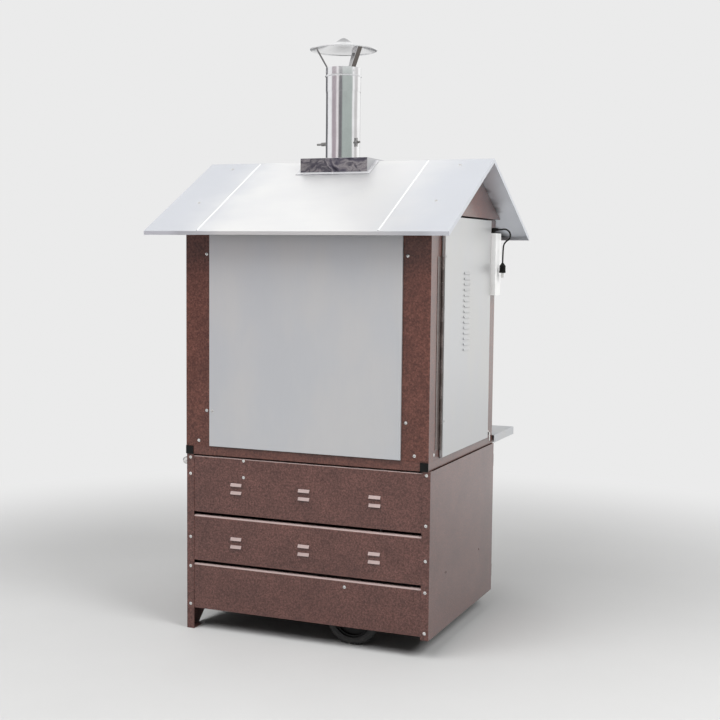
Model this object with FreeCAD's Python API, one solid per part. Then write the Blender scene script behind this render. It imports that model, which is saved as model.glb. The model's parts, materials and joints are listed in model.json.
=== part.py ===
import FreeCAD, Part
import math
import os

V = FreeCAD.Vector

# Wood-fired outdoor oven on a wheeled cabinet, in millimetres, +Z up.
# The louvred back of the cabinet faces -Y, the doors and the work shelf face +Y.

# Sheet metal and fits
sheet = 2.0
flat_gap = 0.5
slide_gap = 0.3
running_clearance = 0.06

# Base cabinet
base_width = 950.0
base_depth = 750.0
base_bottom = 68.0
base_top = 655.0
corner_return = 30.0
foot_length = 85.0
foot_slope = 75.0
side_hole_radius = 4.0
side_hole_rise = 27.0
side_hole_inset = 180.0

# Lapped panels of the cabinet's back, from the top down
first_panel_drop = 6.0
top_panel_height = 207.5
middle_panel_height = 169.5
bottom_panel_height = 168.5
panel_step = 12.0
panel_bend = 7.0
top_panel_bend = 2.0
panel_top_fold = 11.0
panel_bottom_fold = 10.0

# Louvres of the base panels
vent_width = 44.0
vent_height = 11.0
vent_proud = 6.0
vent_pitch = 29.0
vent_spacing = 271.0
vent_skin = 1.2
top_vent_drop = 97.0
middle_vent_drop = 77.0

# Frame of the base cabinet
upright_leg = 25.0
upright_wall = 3.0
rail_height = 30.0
rail_wall = 8.0
wheel_headroom = 40.0

# Wheels and axle
wheel_radius = 100.0
wheel_width = 46.0
wheel_x = 165.0
wheel_inset = 55.0
tyre_height = 26.0
tyre_shoulder = 9.0
hub_radius = 22.0
web_wall = 8.0
axle_radius = 10.0
bracket_width = 90.0
bracket_foot = 18.0
hub_play = 1.0
collar_radius = 17.0
collar_width = 10.0

# Lifting handle on the left
handle_radius = 12.5
handle_end_inset = 75.0
handle_reach = 69.0
handle_drop = 42.0
handle_bend = 22.0
handle_plate = 52.0
handle_plate_wall = 4.0

# Tube ring between the cabinet and the oven body
tube_size = 30.0
tube_wall = 2.0
cap_head = 3.0
cap_plug = 14.0
cap_clearance = 0.2

# Oven body, set a little to the left of the cabinet
upper_x = -5.0
body_inset = 6.0
post_face = 100.0
post_lap = 5.0
body_height = 841.0
back_panel_proud = 8.0
body_panel_rise = 2.0
body_panel_drop = 4.0

# Work shelf in front
shelf_over = 10.0
shelf_depth = 280.0
shelf_edge = 30.0

# Side covers and the hinged louvred door on the right
cover_proud = 13.0
cover_inset = 101.0
door_back_gap = 1.0
knuckle_radius = 4.5
hinge_leaf_width = 36.0
hinge_leaf_wall = 1.5
hinge_pin_radius = 2.5
hinge_parts = 15
hinge_end_gap = 28.0
hinge_top_drop = 138.0
knuckle_gap = 0.5
knuckle_stand = 2.0
door_edge_gap = 6.0
side_vent_count = 15
side_vent_width = 66.0
side_vent_height = 10.0
side_vent_proud = 5.0
side_vent_pitch = 19.6
side_vent_drop = 196.0
side_vent_y = -22.0

# Turn latch that holds the louvred door
latch_gap = 15.0
latch_rise = 18.0
latch_length = 30.0
latch_width = 12.0
latch_wall = 3.0
latch_boss_radius = 5.0

# Roof
roof_rise = 270.0
eave_drop = 61.0
eave_flange = 14.0
rake_flange = 16.0
eave_overhang = 123.0
gable_overhang = 102.0
seam_spacing = 685.0
roof_bar = 20.0
trimmer_spacing = 240.0
gable_rise = 2.0
gable_proud = 18.0
gable_gap = 1.0

# Flue
flue_x = -22.0
flue_radius = 64.0
flue_wall = 1.5
flue_gap = 0.3
pipe_in_collar = 47.0
flue_turn = 18.0
flashing_width = 269.0
flashing_half_depth = 86.0
flashing_rise = 8.0
flashing_flange = 14.0
pipe_showing = 248.0
collar_height = 88.0
collar_wall = 1.0
bead_rise = 58.0
bead_radius = 3.0
cone_radius = 125.0
cone_gap = 70.0
cone_height = 42.0
crown_radius = 32.0
crown_rise = 26.0
cone_wall = 1.5
cone_lip = 5.0
strap_width = 20.0
strap_wall = 2.0
strap_tail = 38.0
strap_tip = 14.0
strap_head_radius = 103.0
strap_angles = (-30.0, 90.0, 210.0)
strap_rise_gap = 2.0

# Flue damper
damper_rise = 61.0
damper_radius = 59.5
damper_wall = 2.0
shaft_radius = 4.0
grip_radius = 7.0
grip_length = 40.0
grip_gap = 2.0
shaft_tail = 23.0
shaft_nose = 19.0
nut_gap = 1.0
nut_radius = 6.5
nut_length = 8.0
wing_reach = 16.0
wing_wall = 3.0

# Oven inside
liner_wall = 3.0
side_space = 152.0
liner_headroom = 143.0
back_space = 85.0
spigot_height = 40.0
spigot_wall = 2.0
insulation_wall = 60.0
soft_gap = 0.3
drawer_jamb = 50.0
drawer_height = 46.0
drawer_back_gap = 133.3
drawer_front_lap = 15.0
drawer_front_height = 56.0
ledge_width = 60.0
ledge_clearance = 6.0
brick_wall = 40.0
brick_height = 188.0
brick_front_gap = 20.0
grate_height = 14.0
grate_rim = 22.0
grate_bar = 9.0
grate_slot = 13.0
deck_gap = 7.0
deck_wall = 30.0
deck_back_slot = 110.0
deck_front_gap = 12.0

# Front doors
fire_open_width = 340.0
fire_open_height = 145.0
fire_open_rise = 27.0
oven_jamb = 40.0
oven_open_height = 320.0
oven_open_rise = 25.0
fire_door_lap = 15.0
oven_door_lap = 20.0
fire_door_depth = 25.0
oven_door_depth = 35.0
base_door_depth = 18.0
base_door_lap = 10.0
base_door_top_gap = 8.0
base_door_gap = 4.0
door_pin_radius = 4.0
door_knuckle_radius = 8.0
door_knuckle_length = 24.0
door_knuckle_gap = 1.5
door_axis_stand = 10.0
door_hinge_inset = 60.0
fire_hinge_inset = 38.0
door_pin_head = 2.5
pull_radius = 6.0
pull_stem_radius = 4.5
pull_end = 14.0
pull_stand = 40.0
pull_inset = 40.0

# Spit and its drive
spit_radius = 6.0
spit_rise = 11.7
spit_bush_length = 14.0
spit_bush_radius = 12.0
spit_end_gap = 2.0
fork_hub_radius = 11.0
fork_hub_length = 18.0
fork_spacing = 320.0
prong_radius = 3.0
prong_length = 70.0
prong_spread = 22.0
standoff_radius = 5.0
standoff_spacing = 100.0
motor_plate_wall = 4.0
motor_plate_size = 130.0
gearbox_depth = 42.0
gearbox_size = 84.0
motor_radius = 34.0
motor_length = 96.0
wall_hole_gap = 4.0

# Control box, its lead and plug
box_inset = 89.0
box_width = 70.0
box_depth = 28.0
box_drop = 288.0
box_height = 237.0
box_wall = 2.5
box_lid = 3.0
rocker_width = 14.0
rocker_height = 21.0
rocker_proud = 4.0
rocker_rise = 150.0
rocker_play = 1.2
rocker_pin_radius = 1.5
gland_radius = 9.0
gland_height = 14.0
gland_nose = 20.0
gland_inset = 14.0
lead_radius = 3.0
plug_length = 38.0
plug_radius = 12.5
plug_neck = 10.0
plug_pin_radius = 2.4
plug_pin_length = 19.0
plug_pin_spacing = 19.0

# Screws
screw_radius = 6.0
screw_height = 3.0
screw_edge = 13.0
upper_screw_drop = 74.0
panel_screw_x = -242.0
low_screw_x = 159.0
post_screw_foot = 19.0
post_screw_low = 131.0
post_screw_high = 700.0
post_screw_inset = 15.0
foot_screw_inset = 48.0
side_screw_inset = 54.0
roof_screw_high = 44.0
roof_screw_low = 300.0

# Heights and places that follow from the sizes above
half_width = base_width / 2
half_depth = base_depth / 2
ring_top = base_top + tube_size
body_floor = ring_top + sheet
floor_top = 2 * wheel_radius + wheel_headroom
side_hole_z = floor_top + side_hole_rise
side_hole_y = half_depth - side_hole_inset
handle_span = base_depth - 2 * handle_end_inset
handle_z = base_top - handle_drop
upper_width = base_width - body_inset
post_width = post_face + post_lap
post_top = body_floor + body_height
back_panel_width = upper_width - 2 * post_face
body_panel_top = post_top - body_panel_drop
shelf_width = upper_width + 2 * shelf_over
cover_width = base_depth - 2 * cover_inset
side_vent_top = body_panel_top - side_vent_drop
latch_y = cover_width / 2 + latch_gap
latch_z = body_floor + latch_rise
eave_top = post_top - eave_drop
ridge_z = eave_top + roof_rise
roof_half_depth = half_depth + eave_overhang
roof_half_width = upper_width / 2 + gable_overhang
gable_bottom = post_top + gable_rise
flashing_top = ridge_z + flashing_rise
damper_z = flashing_top + damper_rise
collar_low = flashing_top + pipe_showing
collar_top = collar_low + collar_height
flue_top = collar_low + pipe_in_collar
bead_z = collar_low + bead_rise
cone_rim_z = collar_top + cone_gap
cone_apex_z = cone_rim_z + cone_height
liner_width = upper_width - 2 * side_space
liner_height = body_height - liner_headroom
liner_top = body_floor + liner_height
liner_back = half_depth - back_space
drawer_width = liner_width - 2 * drawer_jamb
oven_open_width = liner_width - 2 * oven_jamb
box_y = half_depth - box_inset
box_bottom = post_top - box_drop
rocker_z = box_bottom + rocker_rise
body_left = upper_x - upper_width / 2
body_right = upper_x + upper_width / 2
body_low = body_floor + body_panel_rise
shelf_front = half_depth + shelf_depth
roof_slope = (ridge_z - eave_top) / roof_half_depth
roof_angle = math.degrees(math.atan(roof_slope))
sheet_drop = sheet / math.cos(math.radians(roof_angle))
wheel_y = half_depth - wheel_inset - wheel_width / 2
bracket_out = wheel_y - wheel_width / 2 - hub_play
bracket_in = bracket_out - rail_wall
front_face = half_depth + back_panel_proud
front_inside = front_face - sheet
drawer_depth = front_face + slide_gap + liner_back - drawer_back_gap
liner_left = flue_x - liner_width / 2
liner_right = flue_x + liner_width / 2
drawer_low = body_floor + liner_wall + slide_gap
ledge_z = drawer_low + drawer_height + ledge_clearance
brick_low = ledge_z + liner_wall
deck_ledge_z = brick_low + brick_height + deck_gap
deck_low = deck_ledge_z + liner_wall
fire_low = brick_low + fire_open_rise
oven_low = deck_low + deck_wall + oven_open_rise
spit_z = oven_low + oven_open_height / 2 + spit_rise
fire_left = flue_x - fire_open_width / 2 - fire_door_lap
oven_left = flue_x - oven_open_width / 2 - oven_door_lap
door_edge_x = half_width - corner_return + base_door_lap
cover_low = body_low + sheet
side_axis_x = body_right + knuckle_stand + knuckle_radius
side_axis_y = -cover_width / 2
door_face_y = front_face + flat_gap
axis_step = door_knuckle_radius + door_knuckle_gap
motor_face = liner_right + insulation_wall + soft_gap
box_right = body_right + box_depth
flue_axis = V(flue_x, 0, 0)
shaft_axis = V(math.cos(math.radians(flue_turn)), -math.sin(math.radians(flue_turn)), 0)

# The origin is on the floor, under the middle of the whole oven
origin = V(upper_x, (shelf_front - roof_half_depth) / 2, 0)


# Basic solids

def box(x0, x1, y0, y1, z0, z1):
    return Part.makeBox(x1 - x0, y1 - y0, z1 - z0, V(x0, y0, z0))


def rod(start, end, radius):
    way = end - start
    return Part.makeCylinder(radius, way.Length, start, way)


def ring(start, end, outer, inner):
    return rod(start, end, outer).cut(rod(start, end, inner))


def join(solids):
    return solids[0].fuse(solids[1:]).removeSplitter()


def group(solids):
    return Part.makeCompound(solids)


def polygon(points):
    return Part.Face(Part.makePolygon(points + [points[0]]))


def slab_x(points, x0, x1):
    return polygon([V(x0, y, z) for y, z in points]).extrude(V(x1 - x0, 0, 0))


def slab_y(points, y0, y1):
    return polygon([V(x, y0, z) for x, z in points]).extrude(V(0, y1 - y0, 0))


def turned(points, centre):
    face = polygon([V(r, 0, z) for r, z in points])
    solid = face.revolve(V(0, 0, 0), V(0, 0, 1), 360)
    solid.translate(centre)
    return solid


def turned_y(points, centre):
    solid = turned(points, V(0, 0, 0))
    solid.rotate(V(0, 0, 0), V(1, 0, 0), -90)
    solid.translate(centre)
    return solid


def mirrored_x(shape):
    return shape.mirror(V(0, 0, 0), V(1, 0, 0))


def mirrored_y(shape):
    return shape.mirror(V(0, 0, 0), V(0, 1, 0))


# Roof heights: the top of the sheet over y, and bands that follow the slope

def roof_height(y, drop=0.0):
    return ridge_z - roof_slope * abs(y) - drop


def roof_band(half, top_drop, low_drop, x0, x1):
    points = [(-half, roof_height(half, low_drop)), (-half, roof_height(half, top_drop)),
              (0, roof_height(0, top_drop)), (half, roof_height(half, top_drop)),
              (half, roof_height(half, low_drop)), (0, roof_height(0, low_drop))]
    return slab_x(points, x0, x1)


# Pressed louvres: a hood that opens downwards over a slot.
# place(u, w, z) gives the point u along the face and w out of it.

def louvre(place, u, z, width, height, proud):
    def wedge(inset, shift, drop):
        u0 = u - width / 2 + inset
        u1 = u + width / 2 - inset
        ends = [(0, z + height / 2), (proud, z - height / 2), (0, z - height / 2)]
        face = polygon([place(u0, w - shift, h - drop) for w, h in ends])
        return face.extrude(place(u1, 0, 0) - place(u0, 0, 0))
    slot_low = z - height / 2 + vent_skin
    slot_high = z + height / 2 - 2 * vent_skin
    u0 = u - width / 2 + vent_skin
    u1 = u + width / 2 - vent_skin
    slot_face = polygon([place(u0, w, h) for w, h in
                         [(-2 * sheet, slot_low), (0, slot_low), (0, slot_high), (-2 * sheet, slot_high)]])
    slot = slot_face.extrude(place(u1, 0, 0) - place(u0, 0, 0))
    return wedge(0, 0, 0), wedge(vent_skin, vent_skin, vent_skin), slot


def with_louvres(panel, louvres):
    hoods = [hood for hood, hollow, slot in louvres]
    hollows = [hollow for hood, hollow, slot in louvres]
    slots = [slot for hood, hollow, slot in louvres]
    return panel.fuse(hoods).cut(hollows + slots).removeSplitter()


# Hinges with two knuckles on a pin. side is -1 on a door's left edge and 1 on its right edge.

def hinge_axis_x(edge_x, side):
    return edge_x + side * axis_step


def fixed_knuckle(edge_x, side, face_y, z):
    x = hinge_axis_x(edge_x, side)
    y = face_y + door_axis_stand
    low = z - door_knuckle_length
    high = z - slide_gap
    lug_half = door_knuckle_radius - sheet
    body = rod(V(x, y, low), V(x, y, high), door_knuckle_radius)
    lug = box(x - lug_half, x + lug_half, face_y, y, low, high)
    bore = rod(V(x, y, low), V(x, y, high), door_pin_radius + running_clearance)
    return body.fuse(lug).cut(bore)


def moving_knuckle(edge_x, side, face_y, z):
    x = hinge_axis_x(edge_x, side)
    y = face_y + door_axis_stand
    low = z
    high = z + door_knuckle_length
    body = rod(V(x, y, low), V(x, y, high), door_knuckle_radius)
    root = edge_x - side * sheet
    tab_half = door_pin_radius / 2
    tab = box(min(x, root), max(x, root), y - tab_half, y + tab_half, low, high)
    bore = rod(V(x, y, low), V(x, y, high), door_pin_radius + running_clearance)
    return body.fuse(tab).cut(bore)


def door_pin(edge_x, side, face_y, z):
    x = hinge_axis_x(edge_x, side)
    y = face_y + door_axis_stand
    top = z + door_knuckle_length + slide_gap
    shank = rod(V(x, y, z - door_knuckle_length), V(x, y, top), door_pin_radius)
    head = rod(V(x, y, top), V(x, y, top + door_pin_head), door_knuckle_radius - door_knuckle_gap)
    return shank.fuse(head)


# A bow pull: two stems and a round bar between two points of a door's face

def bow_pull(start, end):
    out = V(0, pull_stand, 0)
    over = (end - start).normalize() * pull_end
    stems = [rod(start, start + out, pull_stem_radius), rod(end, end + out, pull_stem_radius)]
    bar = rod(start + out - over, end + out + over, pull_radius)
    return join([bar] + stems)


def pan_y(x0, x1, y_open, y_face, z0, z1):
    inner_face = y_face - sheet if y_face > y_open else y_face + sheet
    body = box(x0, x1, min(y_open, y_face), max(y_open, y_face), z0, z1)
    hollow = box(x0 + sheet, x1 - sheet, min(y_open, inner_face), max(y_open, inner_face), z0 + sheet,
                 z1 - sheet)
    return body.cut(hollow)


def pan_x(x_open, x_face, y0, y1, z0, z1):
    inner_face = x_face - sheet if x_face > x_open else x_face + sheet
    body = box(min(x_open, x_face), max(x_open, x_face), y0, y1, z0, z1)
    hollow = box(min(x_open, inner_face), max(x_open, inner_face), y0 + sheet, y1 - sheet, z0 + sheet,
                 z1 - sheet)
    return body.cut(hollow)


# Base cabinet

base_door_low = base_bottom + 2 * base_door_top_gap
base_door_high = base_top - base_door_top_gap
base_hinge_heights = (base_door_low + door_hinge_inset, base_door_high - door_hinge_inset)


def base_hinge_lugs(side):
    return [fixed_knuckle(side * door_edge_x, side, half_depth, z) for z in base_hinge_heights]


def base_side_left():
    run = half_depth - foot_length - foot_slope
    foot = half_depth - foot_length
    outline = [(-half_depth, 0), (-foot, 0), (-run, base_bottom), (run, base_bottom), (foot, 0),
               (half_depth, 0),
               (half_depth, base_top), (-half_depth, base_top)]
    plate = slab_x(outline, -half_width, -half_width + sheet)
    fold_x = -half_width + corner_return
    back_fold = box(-half_width, fold_x, -half_depth, -half_depth + sheet, 0, base_top)
    front_fold = box(-half_width, fold_x, half_depth - sheet, half_depth, 0, base_top)
    back_foot = box(-half_width, fold_x, -half_depth, -foot, 0, sheet)
    front_foot = box(-half_width, fold_x, foot, half_depth, 0, sheet)
    return join([plate, back_fold, front_fold, back_foot, front_foot] + base_hinge_lugs(-1))


def base_side_right():
    plate = box(half_width - sheet, half_width, -half_depth, half_depth, base_bottom, base_top)
    fold_x = half_width - corner_return
    back_fold = box(fold_x, half_width, -half_depth, -half_depth + sheet, base_bottom, base_top)
    front_fold = box(fold_x, half_width, half_depth - sheet, half_depth, base_bottom, base_top)
    body = join([plate, back_fold, front_fold] + base_hinge_lugs(1))
    holes = [rod(V(half_width - 2 * sheet, y, side_hole_z), V(half_width + sheet, y, side_hole_z),
                 side_hole_radius)
             for y in (-side_hole_y, side_hole_y)]
    return body.cut(holes)


panel_face = -half_depth + sheet
panel_half = half_width - sheet - flat_gap
fold_half = half_width - sheet - upright_leg - flat_gap
top_panel_high = base_top - first_panel_drop
top_panel_low = top_panel_high - top_panel_height
middle_panel_high = top_panel_low - panel_step
middle_panel_low = middle_panel_high - middle_panel_height
bottom_panel_high = middle_panel_low - panel_step
bottom_panel_low = bottom_panel_high - bottom_panel_height


def base_panel(low, high, bend):
    roll = bend + sheet
    plate = box(-panel_half, panel_half, panel_face, panel_face + sheet, low, high - roll)
    axis_y = panel_face + roll
    axis_z = high - roll
    tube = ring(V(-fold_half, axis_y, axis_z), V(fold_half, axis_y, axis_z), roll, bend)
    rolled = tube.common(box(-fold_half, fold_half, panel_face, axis_y, axis_z, high))
    top_fold = box(-fold_half, fold_half, axis_y, axis_y + panel_top_fold, high - sheet, high)
    low_fold = box(-fold_half, fold_half, panel_face, panel_face + panel_bottom_fold, low, low + sheet)
    return join([plate, rolled, top_fold, low_fold])


def vented_panel(low, high, bend, vent_drop):
    def place(u, w, z):
        return V(u, panel_face - w, z)
    first = high - vent_drop
    vents = [louvre(place, column * vent_spacing, first - row * vent_pitch, vent_width, vent_height,
                    vent_proud)
             for column in (-1, 0, 1) for row in (0, 1)]
    return with_louvres(base_panel(low, high, bend), vents)


def base_frame():
    outer_x = half_width - sheet
    outer_y = half_depth - 2 * sheet
    bars = []
    for x_side in (-1, 1):
        for y_side in (-1, 1):
            corner = box(outer_x - upright_leg, outer_x, outer_y - upright_leg, outer_y, base_bottom,
                         base_top)
            inside = box(outer_x - upright_leg, outer_x - upright_wall,
                         outer_y - upright_leg, outer_y - upright_wall, base_bottom, base_top)
            angle = corner.cut(inside)
            angle = mirrored_x(angle) if x_side < 0 else angle
            bars.append(mirrored_y(angle) if y_side < 0 else angle)
    low = floor_top - sheet - rail_height
    high = floor_top - sheet
    rail_x = outer_x - upright_wall
    rail_end = outer_y - upright_wall
    for x_side in (-1, 1):
        x0, x1 = sorted((x_side * rail_x, x_side * (rail_x - rail_wall)))
        bars.append(box(x0, x1, -rail_end, rail_end, low, high))
    for y_side in (-1, 1):
        y0, y1 = sorted((y_side * bracket_in, y_side * bracket_out))
        bars.append(box(-rail_x, rail_x, y0, y1, low, high))
    return join(bars)


def base_floor():
    edge_x = half_width - sheet - upright_wall - flat_gap
    edge_y = half_depth - 2 * sheet - upright_wall - flat_gap
    return box(-edge_x, edge_x, -edge_y, edge_y, floor_top - sheet, floor_top)


def base_door(side):
    outer = side * door_edge_x
    inner = side * base_door_gap / 2
    x0, x1 = sorted((outer, inner))
    face_y = half_depth + flat_gap + base_door_depth
    pan = pan_y(x0, x1, half_depth + flat_gap, face_y, base_door_low, base_door_high)
    knuckles = [moving_knuckle(outer, side, half_depth, z) for z in base_hinge_heights]
    pull_x = inner + side * pull_inset
    middle_z = (base_door_low + base_door_high) / 2
    pull = bow_pull(V(pull_x, face_y, middle_z - 2 * pull_inset), V(pull_x, face_y,
                                                                    middle_z + 2 * pull_inset))
    return join([pan, pull] + knuckles)


# Wheels, axle and the plates that carry it

def axle():
    inner = wheel_y + wheel_width / 2 + hub_play
    reach = inner + collar_width
    bar = rod(V(wheel_x, -reach, wheel_radius), V(wheel_x, reach, wheel_radius), axle_radius)
    bore = axle_radius + running_clearance
    near = ring(V(wheel_x, -reach, wheel_radius), V(wheel_x, -inner, wheel_radius), collar_radius, bore)
    return group([bar, near, mirrored_y(near)])


def axle_brackets():
    low = wheel_radius - axle_radius - bracket_foot
    high = floor_top - sheet - rail_height
    points = [(wheel_x - bracket_width / 4, low), (wheel_x + bracket_width / 4, low),
              (wheel_x + bracket_width / 2, high), (wheel_x - bracket_width / 2, high)]
    plate = slab_y(points, -bracket_out, -bracket_in)
    hole = rod(V(wheel_x, -bracket_out, wheel_radius), V(wheel_x, -bracket_in, wheel_radius),
               axle_radius + running_clearance)
    near = plate.cut(hole)
    return group([near, mirrored_y(near)])


def wheel_rim(y):
    bore = axle_radius + running_clearance
    half = wheel_width / 2
    rim_out = wheel_radius - tyre_height
    rim_in = rim_out - web_wall
    points = [(bore, -half), (hub_radius, -half), (hub_radius, -web_wall / 2), (rim_in, -web_wall / 2),
              (rim_in, -half + tyre_shoulder), (rim_out, -half + tyre_shoulder), (rim_out,
                                                                                  half - tyre_shoulder),
              (rim_in, half - tyre_shoulder), (rim_in, web_wall / 2), (hub_radius, web_wall / 2),
              (hub_radius, half), (bore, half)]
    return turned_y(points, V(wheel_x, y, wheel_radius))


def wheel_tyre(y):
    half = wheel_width / 2
    inner = wheel_radius - tyre_height
    points = [(inner, -half + tyre_shoulder), (inner + tyre_shoulder, -half), (wheel_radius - tyre_shoulder,
                                                                               -half),
              (wheel_radius, -half + tyre_shoulder), (wheel_radius, half - tyre_shoulder),
              (wheel_radius - tyre_shoulder, half), (inner + tyre_shoulder, half), (inner,
                                                                                    half - tyre_shoulder)]
    return turned_y(points, V(wheel_x, y, wheel_radius))


# Lifting handle: a bent tube between two plates on the left side

def lift_handle():
    root = -half_width - handle_plate_wall
    out = -half_width - handle_reach + handle_radius
    end = handle_span / 2
    bend = handle_bend
    diagonal = bend * (1 - math.sqrt(0.5))
    path = Part.Wire([
        Part.LineSegment(V(root, -end, handle_z), V(out + bend, -end, handle_z)).toShape(),
        Part.Arc(V(out + bend, -end, handle_z), V(out + diagonal, -end + diagonal, handle_z),
                 V(out, -end + bend, handle_z)).toShape(),
        Part.LineSegment(V(out, -end + bend, handle_z), V(out, end - bend, handle_z)).toShape(),
        Part.Arc(V(out, end - bend, handle_z), V(out + diagonal, end - diagonal, handle_z),
                 V(out + bend, end, handle_z)).toShape(),
        Part.LineSegment(V(out + bend, end, handle_z), V(root, end, handle_z)).toShape()])
    section = Part.Wire(Part.makeCircle(handle_radius, V(root, -end, handle_z), V(1, 0, 0)))
    bar = path.makePipeShell([section], True, False)
    half = handle_plate / 2
    plates = [box(root, -half_width, y - half, y + half, handle_z - half, handle_z + half) for y in (-end,
                                                                                                     end)]
    return join([bar] + plates)


# Tube ring, its end caps and the sheet that closes it

def ring_frame():
    arm_end = shelf_front - sheet - flat_gap - cap_head
    sides = []
    bores = []
    for x0 in (body_left, body_right - tube_size):
        sides.append(box(x0, x0 + tube_size, -half_depth, arm_end, base_top, ring_top))
        bores.append(box(x0 + tube_wall, x0 + tube_size - tube_wall, -half_depth, arm_end,
                         base_top + tube_wall, ring_top - tube_wall))
    for y0 in (-half_depth, half_depth - tube_size):
        sides.append(box(body_left + tube_wall, body_right - tube_wall, y0, y0 + tube_size, base_top,
                         ring_top))
        bores.append(box(body_left + tube_size / 2, body_right - tube_size / 2, y0 + tube_wall,
                         y0 + tube_size - tube_wall, base_top + tube_wall, ring_top - tube_wall))
    return join(sides).cut(bores)


def tube_caps():
    arm_end = shelf_front - sheet - flat_gap - cap_head
    inset = tube_wall + cap_clearance
    caps = []
    for x0 in (body_left, body_right - tube_size):
        for end, outward in ((-half_depth, -1), (arm_end, 1)):
            y0, y1 = sorted((end, end + outward * cap_head))
            p0, p1 = sorted((end, end - outward * cap_plug))
            head = box(x0, x0 + tube_size, y0, y1, base_top, ring_top)
            plug = box(x0 + inset, x0 + tube_size - inset, p0, p1, base_top + inset, ring_top - inset)
            caps.append(head.fuse(plug))
    return group(caps)


def body_floor_sheet():
    return box(body_left, body_right, -half_depth, half_depth, ring_top, body_floor)


def front_shelf():
    x0 = upper_x - shelf_width / 2
    x1 = upper_x + shelf_width / 2
    low = body_floor - shelf_edge
    y0 = half_depth + flat_gap
    body = box(x0, x1, y0, shelf_front, low, body_floor)
    hollow = box(x0 + sheet, x1 - sheet, y0, shelf_front - sheet, low, ring_top)
    return body.cut(hollow)


# Corner posts and the wall panels of the oven body

def post(x_side, y_side):
    x0, x1 = sorted((x_side * upper_width / 2, x_side * (upper_width / 2 - post_width)))
    y0, y1 = sorted((y_side * half_depth, y_side * (half_depth - post_width)))
    face_in = y_side * (half_depth - sheet)
    side_in = x_side * (upper_width / 2 - sheet)
    f0, f1 = sorted((y_side * half_depth, face_in))
    s0, s1 = sorted((x_side * upper_width / 2, side_in))
    face = box(x0 + upper_x, x1 + upper_x, f0, f1, body_floor, post_top)
    side = box(s0 + upper_x, s1 + upper_x, y0, y1, body_floor, post_top)
    return join([face, side])


def back_panel():
    x0 = upper_x - back_panel_width / 2
    return pan_y(x0, x0 + back_panel_width, -half_depth, -half_depth - back_panel_proud, body_low,
                 body_panel_top)


def left_panel():
    return pan_x(body_left, body_left - cover_proud, -cover_width / 2, cover_width / 2, cover_low,
                 body_panel_top)


def front_panel():
    x0 = upper_x - back_panel_width / 2
    panel = pan_y(x0, x0 + back_panel_width, half_depth, front_face, body_low, body_panel_top)
    cuts = []
    for width, low, high in ((drawer_width + 2 * flat_gap, body_low, drawer_low + drawer_height + flat_gap),
                             (fire_open_width, fire_low, fire_low + fire_open_height),
                             (oven_open_width, oven_low, oven_low + oven_open_height)):
        cuts.append(box(flue_x - width / 2, flue_x + width / 2, half_depth, front_face, low, high))
    cuts.append(box(liner_left - flat_gap, liner_right + flat_gap, half_depth, front_inside, body_low,
                    body_low + sheet))
    panel = panel.cut(cuts)
    lugs = [fixed_knuckle(fire_left, -1, front_face, z) for z in fire_hinge_heights]
    lugs += [fixed_knuckle(oven_left, -1, front_face, z) for z in oven_hinge_heights]
    return join([panel] + lugs)


# Louvred door on the right, on a long pinned hinge along its back edge

def hinge_spans():
    low = cover_low + hinge_end_gap
    high = body_panel_top - hinge_top_drop
    step = (high - low) / hinge_parts
    return [(low + i * step + knuckle_gap / 2, low + (i + 1) * step - knuckle_gap / 2)
            for i in range(hinge_parts)]


def knuckle(span):
    return ring(V(side_axis_x, side_axis_y, span[0]), V(side_axis_x, side_axis_y, span[1]),
                knuckle_radius, hinge_pin_radius + running_clearance)


def tab_clear(span, tab):
    bore = rod(V(side_axis_x, side_axis_y, span[0]), V(side_axis_x, side_axis_y, span[1]),
               hinge_pin_radius + running_clearance)
    return tab.cut(bore)


def side_hinge():
    spans = hinge_spans()
    leaf = box(body_right, body_right + hinge_leaf_wall, side_axis_y - hinge_leaf_width,
               side_axis_y + knuckle_radius / 2,
               spans[0][0], spans[-1][1])
    solids = [leaf]
    for span in spans[0::2]:
        tab = box(body_right, side_axis_x, side_axis_y - knuckle_radius / 2,
                  side_axis_y + knuckle_radius / 2, *span)
        solids += [knuckle(span), tab_clear(span, tab)]
    return join(solids)


def side_door():
    face_x = body_right + cover_proud
    near = side_axis_y + door_edge_gap
    pan = pan_x(body_right + door_back_gap + hinge_leaf_wall, face_x, near, cover_width / 2, cover_low,
                body_panel_top)

    def place(u, w, z):
        return V(face_x + w, u, z)
    vents = [louvre(place, side_vent_y, side_vent_top - i * side_vent_pitch, side_vent_width,
                    side_vent_height,
                    side_vent_proud) for i in range(side_vent_count)]
    pan = with_louvres(pan, vents)
    heads = [screw_head(V(face_x, near + screw_edge, body_floor + z), V(1, 0, 0))
             for z in (post_screw_low, post_screw_high)]
    solids = [pan] + heads
    for span in hinge_spans()[1::2]:
        tab = box(side_axis_x, side_axis_x + knuckle_radius / 2, side_axis_y, near + sheet, *span)
        solids += [knuckle(span), tab_clear(span, tab)]
    return join(solids)


def side_hinge_pin():
    spans = hinge_spans()
    return rod(V(side_axis_x, side_axis_y, spans[0][0]), V(side_axis_x, side_axis_y, spans[-1][1]),
               hinge_pin_radius)


def turn_latch():
    face = body_right + cover_proud + flat_gap
    boss = rod(V(body_right, latch_y, latch_z), V(face, latch_y, latch_z), latch_boss_radius)
    half = latch_width / 2
    bar = box(face, face + latch_wall, latch_y - half, latch_y + half, latch_z - latch_length + half,
              latch_z)
    ends = [rod(V(face, latch_y, z), V(face + latch_wall, latch_y, z), half)
            for z in (latch_z, latch_z - latch_length + half)]
    return join([boss, bar] + ends)


# Roof: three lapped sheets, gable boards and the frame below

seam_left = flue_x - seam_spacing / 2
seam_right = flue_x + seam_spacing / 2
roof_left_x = upper_x - roof_half_width
roof_right_x = upper_x + roof_half_width


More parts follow.
